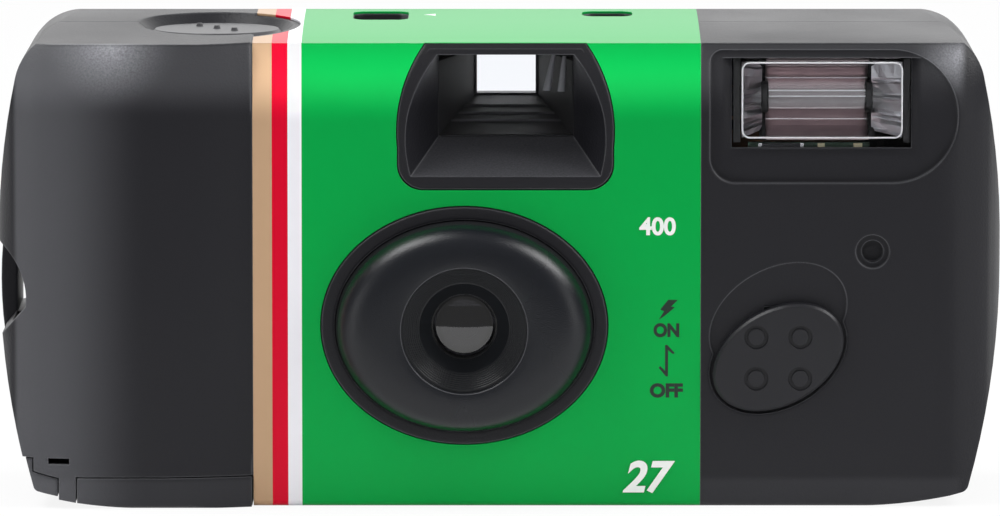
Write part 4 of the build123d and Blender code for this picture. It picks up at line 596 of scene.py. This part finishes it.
def circle(sides):
    """Cosine and sine at even steps round a full turn."""
    turns = [2 * math.pi * k / sides for k in range(sides)]
    return [(math.cos(turn), math.sin(turn)) for turn in turns]


def skin(rows, around, closed=True, hoop=False):
    """Faces that join rows of points, rings or open lines; in a hoop the last row meets the first."""
    faces = []
    for row in range(rows if hoop else rows - 1):
        here, above = row * around, (row + 1) % rows * around
        for step in range(around if closed else around - 1):
            after = (step + 1) % around
            faces.append((here + step, here + after, above + after, above + step))
    return faces


def caps(rows, around):
    """Faces that close the first and the last ring."""
    return [tuple(range(around)), tuple(range((rows - 1) * around, rows * around))]


def crisp(holder, angle=30):
    """Keeps the corners of a smooth piece sharp."""
    edge = holder.modifiers.new("corners", "EDGE_SPLIT")
    edge.split_angle = math.radians(angle)


def measured(name):
    """Lowest corner, highest corner and centre of a solid's box."""
    low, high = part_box(name)
    return low, high, (low + high) / 2


# %% [markdown]
# ## The lens dome
# On the real camera this is one glossy moulding: from an oval foot it rises steeply, rolls over
# and flattens towards a round lip; then come a drop, eight fine steps that catch stray light, and
# a smooth cone down to the lens. Rings of points, one for each corner of that section, make it
# exactly, and much rounder than a solid with a few flats. A squared ellipse gives the roll.

# %% Section of the dome
dome_low, dome_high, dome_mid = measured("lens_bezel")
half_wide, half_high = (dome_high.x - dome_low.x) / 2, (dome_high.z - dome_low.z) / 2
rim_r, cone_r = 7.0 * MM, 3.6 * MM
dome_turns, foot_turns, squareness = 28, 7, 0.64
section = [(cone_r, cone_r, dome_high.y), (half_wide, half_high, dome_high.y)]
for step in range(dome_turns + 1):
    turn = step * math.pi / 2 / dome_turns
    out, rise = abs(math.cos(turn)) ** squareness, math.sin(turn) ** squareness
    section.append((
        rim_r + (half_wide - rim_r) * out, rim_r + (half_high - rim_r) * out,
        dome_high.y + (dome_low.y - dome_high.y) * rise,
    ))

# Radius and depth below the lip, in millimetres.
lip = [(6.93, 0.02), (6.86, 0.08), (6.83, 0.17), (6.83, 0.85)]
fine_steps, first_r, first_depth = 8, 6.45, 0.85
step_in, step_down, step_edge = 0.20, 0.24, 0.05
for step in range(fine_steps):
    radius, depth = first_r - step * step_in, first_depth + step * step_down
    lip += [(radius + step_edge, depth), (radius, depth + step_edge), (radius, depth + step_down)]
lip += [(4.9, 2.80), (3.6, 4.30), (3.6, 5.70)]
rings = [(radius * MM, radius * MM, dome_low.y + depth * MM) for radius, depth in lip]
print("dome section has", len(section) + 3, "corners, rings", len(rings) - 2)

# %% [markdown]
# ## One moulding, four finishes
# A single mesh would need its faces sorted by finish. Cut at its rings instead, the moulding
# becomes three pieces, each with one finish: the dome, its duller foot, and the steps with the
# cone. The fourth is a hair-thin round line on the lip, a grey painted highlight where the sharp
# edge catches light.

# %% Dome, foot, rings and rim
dome_sides = 144
rim_sunk = 0.03
rim_line = [(6.87, 0.02), (6.91, -0.03), (6.97, -0.03), (7.00, 0.02), (6.97, 0.05), (6.90, 0.05)]


def turned_piece(name, corners, made):
    """A shape from rings of points round the lens axis."""
    points = [
        (dome_mid.x + wide * c, y, dome_mid.z + high * s)
        for wide, high, y in corners for c, s in circle(dome_sides)
    ]
    faces = skin(len(corners), dome_sides)
    turned = piece(name, points, faces, made, "case")
    crisp(turned)
    return turned


dome = turned_piece("lens_dome", section[1 + foot_turns:] + rings[:3], gloss_black)
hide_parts("lens_bezel")
turned_piece("lens_foot", section[:2 + foot_turns], foot_black)
turned_piece("lens_rings", rings[2:], ring_black)
# The round line on the lip is a painted highlight.
rim_rings = [
    (radius * MM, radius * MM, dome_low.y + (rim_sunk + depth) * MM)
    for radius, depth in rim_line + rim_line[:1]
]
turned_piece("lens_rim_highlight", rim_rings, rim_highlight_grey)
print("dome is", round(2 * half_wide / MM, 1), "by", round(2 * half_high / MM, 1), "mm")

# %% [markdown]
# ## The lens
# The front of the lens is nearly flat: the bright floor shows in it as a crescent along its lower
# edge, which a more domed glass would squeeze to its rim. A squashed sphere has no flange to be
# held by, so the lens is turned about its axis from a section with a flange and a hollow back.

# %% Lens glass
glass_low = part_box("taking_lens")[0]
glass_sides, glass_turns = 96, 12
clear_r, flange_r, back_r = 3.42, 4.5, 3.2
front_bulge, flange_front, glass_back, back_hollow, clearance = 0.45, 0.5, 1.2, 0.5, 0.15
glass_section = [
    (clear_r * k / glass_turns, front_bulge * (1 - (k / glass_turns) ** 2))
    for k in range(1, glass_turns + 1)
]
glass_section += [
    (clear_r, -flange_front), (flange_r, -flange_front), (flange_r, -glass_back), (back_r, -glass_back),
]
for k in range(1, glass_turns):
    left = 1 - k / glass_turns
    glass_section.append((back_r * left, -glass_back + back_hollow * (1 - left ** 2)))
glass_front = glass_low.y + (front_bulge + clearance) * MM
points = [
    (dome_mid.x + radius * MM * c, glass_front - up * MM, dome_mid.z + radius * MM * s)
    for radius, up in glass_section for c, s in circle(glass_sides)
]
points.append((dome_mid.x, glass_front - front_bulge * MM, dome_mid.z))
points.append((dome_mid.x, glass_front + (glass_back - back_hollow) * MM, dome_mid.z))
front_tip, back_tip = len(points) - 2, len(points) - 1
last = (len(glass_section) - 1) * glass_sides
faces = skin(len(glass_section), glass_sides)
faces += [(front_tip, k, (k + 1) % glass_sides) for k in range(glass_sides)]
faces += [(back_tip, last + (k + 1) % glass_sides, last + k) for k in range(glass_sides)]
lens_glass = piece("lens_glass", points, faces, shaded_lens, "case")
crisp(lens_glass)
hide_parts("taking_lens")
print("lens glass radius", clear_r, "bulge", front_bulge)

# %% [markdown]
# ## The flash trough
# Behind the window a long trough of bright sheet, folded in flat strips, stands round the tube.
# Its strips are what draws the level bands in the picture, so it is a folded sheet with flat
# shading, and not a smooth half pipe. Short lengths of the same folds in dull black end it on both
# sides. A few folds are rolled tight and shine as thin lines, and two thin wires lie along the
# tube to start the flash; their white is a painted highlight of the tube.

# %% Trough, folds and wires
flash_low, flash_high, flash_mid = measured("reflector")
tube_low, tube_high, tube_mid = measured("flash_tube")
tube_r = (tube_high.z - tube_low.z) / 2
trough_left, trough_right, trough_back = 29.1 * MM, 40.3 * MM, 5.3 * MM
half_open, strips, trough_roll, sheet_thick = 4.3 * MM, 13, 0.8, 0.15 * MM
collar_gap, collar_end = 0.02 * MM, 0.75 * MM
rod_sides, fold_forward, wire_off = 12, 0.1 * MM, 0.03 * MM


def thicken(holder, thickness):
    """Makes a folded surface a thin sheet."""
    sheet = holder.modifiers.new("sheet", "SOLIDIFY")
    sheet.thickness, sheet.offset = thickness, 0.0


def trough_at(turn):
    """Depth and height of the trough's section at an angle."""
    depth = trough_back * abs(math.sin(turn)) ** trough_roll
    return flash_low.y + depth, flash_mid.z - half_open * math.cos(turn)


def trough_part(name, x_low, x_high, made):
    """A length of the folded trough, as thin sheet."""
    line = [trough_at(math.pi * k / strips) for k in range(strips + 1)]
    points = [(x, y, z) for x in (x_low, x_high) for y, z in line]
    faces = skin(2, len(line), closed=False)
    part = piece(name, points, faces, made, "case", smooth=False)
    thicken(part, sheet_thick)
    return part


def rod(name, y, z, radius, made):
    """A thin round rod along the whole trough."""
    points = [
        (x, y + radius * c, z + radius * s)
        for x in (trough_left, trough_right) for c, s in circle(rod_sides)
    ]
    faces = skin(2, rod_sides) + caps(2, rod_sides)
    crisp(piece(name, points, faces, made, "case"))


trough = trough_part("reflector_trough", trough_left, trough_right, shaded_trough_sheet)
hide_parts("reflector")
# Each end is a short length of the same folds in dull black.
for side, start, way in (("left", trough_left, -1), ("right", trough_right, 1)):
    x_low, x_high = sorted((start + way * collar_gap, start + way * collar_end))
    trough_part(f"trough_end_{side}", x_low, x_high, inner_black)

# Each fold and wire has the angle where it lies and its radius in millimetres.
for number, (turn, radius) in enumerate(((2.05, 0.10), (2.52, 0.07), (1.32, 0.08), (0.94, 0.07))):
    y, z = trough_at(turn)
    rod(f"trough_fold_{number + 1}", y - fold_forward, z, radius * MM, bright_sheet)
# The wires are real, and their white is a painted highlight of the tube.
for number, (turn, radius) in enumerate(((0.62, 0.09), (0.12, 0.08))):
    y = tube_mid.y - (tube_r + wire_off) * math.cos(turn)
    z = tube_mid.z + (tube_r + wire_off) * math.sin(turn)
    rod(f"trigger_wire_{number + 1}", y, z, radius * MM, highlight_white)
print("strips", strips, "trough from", round(trough_left / MM, 1), "to", round(trough_right / MM, 1))

# %% [markdown]
# ## Foil wings and boots
# At each end a wing of thin foil, creased like a fan, closes the trough, and a dark boot holds
# the end of the tube. Cloth physics could crumple a sheet, but a zigzag whose folds are drawn at
# random from a fixed seed is light and comes out the same every time. The boots are turned.

# %% Foil wings
chance = random.Random(7)
creases, columns, foil_thick = 23, 5, 0.06 * MM
wing_front, wing_depth, wing_half = 0.15 * MM, 3.4 * MM, 4.15 * MM
outer_gap, inner_gap = 0.1 * MM, 0.4 * MM


def foil_wing(name, outer_x, inner_x, made):
    """Fan of creases from the window's edge back to the trough, lower and flatter at the back."""
    marks = sorted([-1.0, 1.0] + [chance.uniform(-0.93, 0.93) for _ in range(creases - 2)])
    points = []
    for number, mark in enumerate(marks):
        side = 1 if number % 2 else -1
        for column in range(columns):
            share = column / (columns - 1)
            spread = mark * (1.0 - 0.12 * share) + chance.uniform(-0.01, 0.01)
            crease = side * chance.uniform(0.12, 0.42) * MM * (1.0 - 0.5 * share)
            points.append((
                outer_x + (inner_x - outer_x) * share,
                flash_low.y + wing_front + wing_depth * share + crease,
                flash_mid.z + wing_half * spread,
            ))
    faces = skin(creases, columns, closed=False)
    wing = piece(name, points, faces, made, "case", smooth=False)
    thicken(wing, foil_thick)


# The left wing takes the dimmer foil, a painted shade.
foil_wing("foil_left", flash_low.x + outer_gap, trough_left - inner_gap, shaded_foil)
foil_wing("foil_right", flash_high.x - outer_gap, trough_right + inner_gap, foil)
print("creases in each wing:", creases)

# %% Tube boots
boot_sides, boot_outside, boot_inside = 40, 0.5 * MM, 0.3 * MM
boot_section = [
    (0.0, 1.32), (0.0, 1.6), (0.12, 1.72), (0.3, 1.75), (0.5, 1.75), (0.68, 1.72), (0.8, 1.6),
    (0.8, 1.32),
]
for side, boot_x in (("left", trough_left - boot_outside), ("right", trough_right - boot_inside)):
    points = [
        (boot_x + along_x * MM, tube_mid.y + radius * MM * c, tube_mid.z + radius * MM * s)
        for along_x, radius in boot_section for c, s in circle(boot_sides)
    ]
    faces = skin(len(boot_section), boot_sides, hoop=True)
    crisp(piece(f"tube_boot_{side}", points, faces, inner_black, "case"))
print("boot radius", max(radius for _, radius in boot_section))

# %% [markdown]
# ## Edge and seals of the flash window
# Light that runs inside the clear window leaves it at its edge, which shows as a thin bright
# line with round corners. Glass could carry that light, but only with very many rays, so a dull
# white hoop lies along the edge as painted light. Behind the window's two ends, strips of dark
# foam keep the light in.

# %% Window edge
window_low, window_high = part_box("flash_window")
edge_r, edge_sides, corner_r, corner_turns = 0.10 * MM, 8, 0.8 * MM, 6
edge_left, edge_right, edge_low, edge_high = 26.45 * MM, 43.85 * MM, 40.55 * MM, 48.75 * MM
corner_centres = (
    (edge_right - corner_r, edge_high - corner_r), (edge_left + corner_r, edge_high - corner_r),
    (edge_left + corner_r, edge_low + corner_r), (edge_right - corner_r, edge_low + corner_r),
)
outline = []
for quarter, (x, z) in enumerate(corner_centres):
    for step in range(corner_turns + 1):
        turn = (quarter + step / corner_turns) * math.pi / 2
        outline.append((x, z, math.cos(turn), math.sin(turn)))
points = []
for c, s in circle(edge_sides):
    reach, y = corner_r + edge_r * c, window_low.y + edge_r * (1 + s)
    points += [(x + reach * out_x, y, z + reach * out_z) for x, z, out_x, out_z in outline]
faces = skin(edge_sides, len(outline), hoop=True)
# The hoop is painted light along the window's edge.
piece("window_edge", points, faces, highlight_white, "case")
print("window edge has", len(outline), "points round")

# %% Light seals
seal_low, seal_high, seal_gap, seal_thick = 39.9 * MM, 49.2 * MM, 0.02 * MM, 0.1 * MM
box_faces = [(0, 1, 3, 2), (4, 6, 7, 5), (0, 4, 5, 1), (2, 3, 7, 6), (0, 2, 6, 4), (1, 5, 7, 3)]
seal_y = window_high.y + seal_gap
for side, x_low, x_high in (("left", 25.45, 26.25), ("right", 44.05, 44.85)):
    corners = [
        (x * MM, y, z)
        for y in (seal_y, seal_y + seal_thick) for x in (x_low, x_high) for z in (seal_low, seal_high)
    ]
    piece(f"light_seal_{side}", corners, box_faces, inner_black, "case", smooth=False)
print("light seals at y", round(seal_y / MM, 2))

# %% [markdown]
# ## Parts that show on the flash board
# Through the clear flange under the window a strip of the circuit board shows, with solder pads
# and one small component that has metal ends. A bump could suggest them, but only real edges
# catch light as these do, so each is a low block with bevelled edges.

# %% Board pads and component
board_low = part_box("flash_board")[0]
pad_low, pad_high = 39.22 * MM, 39.84 * MM
board_parts = (
    ("pad_1", 34.7, 35.5, 0.10, solder, "contact_brass"),
    ("pad_2", 38.6, 39.6, 0.10, solder, "contact_brass"),
    ("component_body", 28.6, 32.8, 0.09, dark_steel, "blade_steel"),
    ("component_end_left", 28.2, 28.6, 0.12, bright_sheet, "bright_aluminium"),
    ("component_end_right", 32.8, 33.2, 0.12, bright_sheet, "bright_aluminium"),
)
for name, left, right, height, made, slot in board_parts:
    inset = height * MM / 2
    back, front = board_low.y, board_low.y - height * MM
    points = []
    for y, cut in ((back, 0.0), (front + inset, 0.0), (front, inset)):
        x_low, x_high, z_low, z_high = left * MM + cut, right * MM - cut, pad_low + cut, pad_high - cut
        points += [(x_low, y, z_low), (x_high, y, z_low), (x_high, y, z_high), (x_low, y, z_high)]
    piece(name, points, skin(3, 4) + caps(3, 4), made, "case", smooth=False)
print("parts on the board:", len(board_parts))

# %% [markdown]
# ## Print on the sleeve
# Next to the flash switch the real sleeve is printed with a bolt, the two switch words and a
# double arrow, all in a dark ink, and a white arrowhead on top points at the counter. Sleeves of
# this kind also give the film's speed and the number of pictures, here in plain white figures.
# An image could carry the print, but it blurs close by. Ink has no depth to speak of, so each mark
# is a closed skin a fiftieth of a millimetre thick that lies on the card, sharp at any distance.

# %% Helpers for flat marks
ink_depth = 0.02 * MM
front_y = sleeve_low.y
sleeve_mesh = nodes["sleeve"].data
card = BVHTree.FromPolygons(
    [vertex.co for vertex in sleeve_mesh.vertices], [face.vertices for face in sleeve_mesh.polygons],
)


def roof_z(x, y):
    """Height of the card's roof at a place."""
    hit = card.ray_cast(Vector((x, y, 1.0)), Vector((0, 0, -1)))
    return hit[0].z


def flat_mark(name, corners, place, made, on_roof=False):
    """A flat shape with the given corners in mm, laid on the front or on the roof of the card."""
    points = []
    for depth in (0.0, ink_depth):
        for across_x, up in corners:
            first, second = place[0] + across_x * MM, place[1] + up * MM
            if on_roof:
                points.append((first, second, roof_z(first, second) + depth))
            else:
                points.append((first, front_y - depth, second))
    faces = caps(2, len(corners)) + skin(2, len(corners))
    return piece(name, points, faces, made, "case", smooth=False)


print("ink lies at y", round(front_y / MM, 2))

# %% Helpers for characters
def characters(name, text, height, slant=0.0, weight=0.0, width=0.0):
    """Mesh of plain characters, centred, with the given height and width, in the XY plane."""
    curve = bpy.data.curves.new(name, "FONT")
    curve.body, curve.size, curve.shear, curve.offset = text, 1.0, slant, weight
    curve.align_x = "CENTER"
    curve.extrude = 0.5
    maker = bpy.data.objects.new(name, curve)
    bpy.context.scene.collection.objects.link(maker)
    mesh = bpy.data.meshes.new_from_object(maker.evaluated_get(bpy.context.evaluated_depsgraph_get()))
    bpy.data.objects.remove(maker)
    low = [min(v.co[axis] for v in mesh.vertices) for axis in range(3)]
    high = [max(v.co[axis] for v in mesh.vertices) for axis in range(3)]
    size = height / (high[1] - low[1])
    mesh.transform(Matrix.Translation([-(a + b) / 2 for a, b in zip(low, high)]))
    wide = width / (high[0] - low[0]) if width else size
    mesh.transform(Matrix.Diagonal((wide, size, ink_depth / (high[2] - low[2]), 1)))
    return mesh


def front_print(name, text, height, x, z, made, slant=0.0, weight=0.0, width=0.0):
    """Characters on the front of the card, placed by their middle in mm."""
    mesh = characters(name, text, height * MM, slant, weight, width * MM)
    lie = Matrix.Translation((x * MM, front_y - ink_depth / 2, z * MM))
    mesh.transform(lie @ Matrix.Rotation(math.pi / 2, 4, "X"))
    return carry(name, mesh, made, "case", smooth=False)


# %% Printed marks
bolt = [
    (-0.02, 1.08), (1.04, 1.05), (0.29, 0.33), (0.70, 0.25), (-0.36, -0.65), (-1.05, -1.11),
    (-0.47, -0.18), (-0.88, 0.0),
]
arrow = [
    (-0.15, 1.75), (0.10, 1.75), (0.90, 0.88), (0.72, 0.74), (0.17, 1.20), (0.17, -1.72),
    (-0.05, -1.72), (-0.86, -0.74), (-0.68, -0.58), (-0.15, -1.10),
]
pointer = [(-0.75, 0.0), (0.55, -0.75), (0.55, 0.75)]
flat_mark("print_bolt", bolt, (18.4 * MM, 21.75 * MM), dark_ink)
front_print("print_on", "ON", 1.56, 18.19, 19.48, dark_ink, weight=0.05, width=2.82)
flat_mark("print_arrow", arrow, (18.2 * MM, 16.1 * MM), dark_ink)
front_print("print_off", "OFF", 1.6, 18.2, 12.84, dark_ink, weight=0.05, width=3.62)
front_print("print_speed", "400", 2.0, 17.2, 30.9, white_ink, weight=0.03)
front_print("print_count", "27", 3.6, 16.3, 3.3, white_ink, slant=0.25, weight=0.03)
flat_mark("print_pointer", pointer, (-7.7 * MM, 7.6 * MM), white_ink, on_roof=True)

# %% [markdown]
# ## Numbers on the counter
# The dial turns by one tooth for each picture and shows the pictures left. Every third place has
# a number, pressed in black on the white disc. They are meshes of the same thin kind as the
# print, made from a plain built-in face, and ride on the dial, so they turn with it.

# %% Counter numbers
_, dial_high, dial_mid = measured("counter_dial")
number_r, places, shown_at_rest, every = 4.9 * MM, 30, 27, 3
shown = range(0, places, every)
on_dial = Matrix.Translation((dial_mid.x, dial_mid.y, dial_high.z + ink_depth / 2))
to_rim = Matrix.Translation((-number_r, 0, 0))
for number in shown:
    mesh = characters(f"number_{number}", str(number), 1.35 * MM, weight=0.01)
    turn = -2 * math.pi * (shown_at_rest - number) / places
    mesh.transform(on_dial @ Matrix.Rotation(turn, 4, "Z") @ to_rim)
    carry(f"count_number_{number}", mesh, dark_ink, "dial", smooth=False)
print("numbers on the dial:", len(shown))

# %% [markdown]
# ## Inside the viewfinder
# Light steps stand on the floor of the finder's tunnel to break up reflections, a thin frame goes
# round the eyepiece, and the two clear legs of the front lens stand at the right. The light that
# the legs pick up from above is painted: they are pale grey, a painted highlight. All are seen
# through the front lens, round the bright opening. They are few and plain, so each is written
# out from its corners.

# %% Eyepiece frame
eye_low, _, eye_mid = measured("finder_rear_lens")
frame_x, frame_z, frame_wide, frame_deep = 3.35 * MM, 2.2 * MM, 0.3 * MM, 0.25 * MM
near_y = eye_low.y - frame_deep
points = []
for y, grow in ((eye_low.y, 0.0), (near_y, 0.0), (near_y, frame_wide), (eye_low.y, frame_wide)):
    half_x, half_z = frame_x + grow, frame_z + grow
    for side_x, side_z in ((-1, -1), (1, -1), (1, 1), (-1, 1)):
        points.append((eye_mid.x + side_x * half_x, y, eye_mid.z + side_z * half_z))
faces = skin(4, 4, hoop=True)
piece("eyepiece_frame", points, faces, grey_plastic, "case", smooth=False)
print("eyepiece frame", round(2 * frame_x / MM, 1), "by", round(2 * frame_z / MM, 1), "mm inside")

# %% Legs of the front lens
# The legs are pale grey columns in place of clear ones lit from above: a painted highlight.
leg_y, leg_sides = -1.9, 16
foot_wide, middle_wide, top_wide = 1.25, 1.0, 0.6
legs = ((5.95, 5.15, 49.0, 44.9, 0.36), (7.1, 6.75, 48.7, 44.8, 0.34))
for number, (x_top, x_low, z_top, z_low, radius) in enumerate(legs):
    leg_rows = (
        (x_low, z_low, radius * foot_wide),
        ((x_top + x_low) / 2, (z_top + z_low) / 2, radius * middle_wide),
        (x_top, z_top, radius * top_wide),
    )
    points = [
        ((x + thick * c) * MM, (leg_y + thick * s) * MM, z * MM)
        for x, z, thick in leg_rows for c, s in circle(leg_sides)
    ]
    faces = skin(3, leg_sides) + caps(3, leg_sides)
    crisp(piece(f"finder_leg_{number + 1}", points, faces, leg_highlight_grey, "case"))
print("legs:", len(legs))

# %% Light steps
step_count, tunnel_x, first_y, spacing, first_half, narrowing = 3, 0.66, 1.5, 2.8, 6.2, 0.5
tunnel_front, tunnel_floor, tunnel_climb = -3.7, 40.2, 3.0 / 15.5
step_profile = ((-0.3, -0.1), (0.0, 0.2), (0.3, -0.1))
prism_faces = [(0, 1, 4, 3), (1, 2, 5, 4), (2, 0, 3, 5), (0, 2, 1), (3, 4, 5)]
for number in range(step_count):
    y = first_y + spacing * number
    floor_z = tunnel_floor + (y - tunnel_front) * tunnel_climb
    half = first_half - narrowing * number
    points = [
        (x * MM, (y + dy) * MM, (floor_z + dz) * MM)
        for x in (tunnel_x - half, tunnel_x + half) for dy, dz in step_profile
    ]
    name = f"finder_step_{number + 1}"
    piece(name, points, prism_faces, grey_plastic, "case", smooth=False)
print("light steps:", step_count, "the last at", round(floor_z, 1), "mm up")

# %% [markdown]
# ## Dress every solid
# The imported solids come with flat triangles. A Weld joins the points that the file format split,
# an Edge Split keeps real corners, and smooth shading does the rest without touching the mesh.

# %% Put the finishes on the solids
dress = {
    case_black: ["front_cover", "rear_cover", "cartridge_door"],
    gloss_black: ["lens_bezel"],
    knob_black: ["flash_switch", "winding_wheel"],
    button_black: ["shutter_button"],
    inner_black: [
        "main_frame", "top_plate", "lens_holder", "shutter_plate", "cartridge_spool", "supply_spool",
    ],
    inner_white: ["sprocket", "counter_dial", "kick_lever", "lock_lever"],
    printed_card: ["sleeve"],
    clear_plastic: ["flash_window", "finder_front_lens", "finder_rear_lens", "light_guide"],
    shaded_lens: ["taking_lens"],
    tube_glass: ["flash_tube"],
    bright_sheet: ["reflector"],
    spring_brass: ["battery_contact_minus", "battery_contact_plus", "sync_contact", "switch_contact"],
    dark_steel: ["shutter_blade", "shutter_spring"],
    cell_wrap: ["battery", "flash_capacitor"],
    can_steel: ["cartridge_shell"],
    film_brown: ["film_strip", "film_roll"],
    board_green: ["flash_board"],
    wound_core: ["transformer", "trigger_coil"],
}
weld_distance, corner_angle = 0.000002, 32
dressed = set()
for made, names in dress.items():
    for name in names:
        solid = nodes[name]
        solid.data.materials.clear()
        solid.data.materials.append(made)
        solid.data.polygons.foreach_set("use_smooth", [True] * len(solid.data.polygons))
        weld = solid.modifiers.new("weld", "WELD")
        weld.merge_threshold = weld_distance
        crisp(solid, corner_angle)
        dressed.add(name)
print("dressed", len(dressed), "bare:", sorted(set(nodes) - dressed))
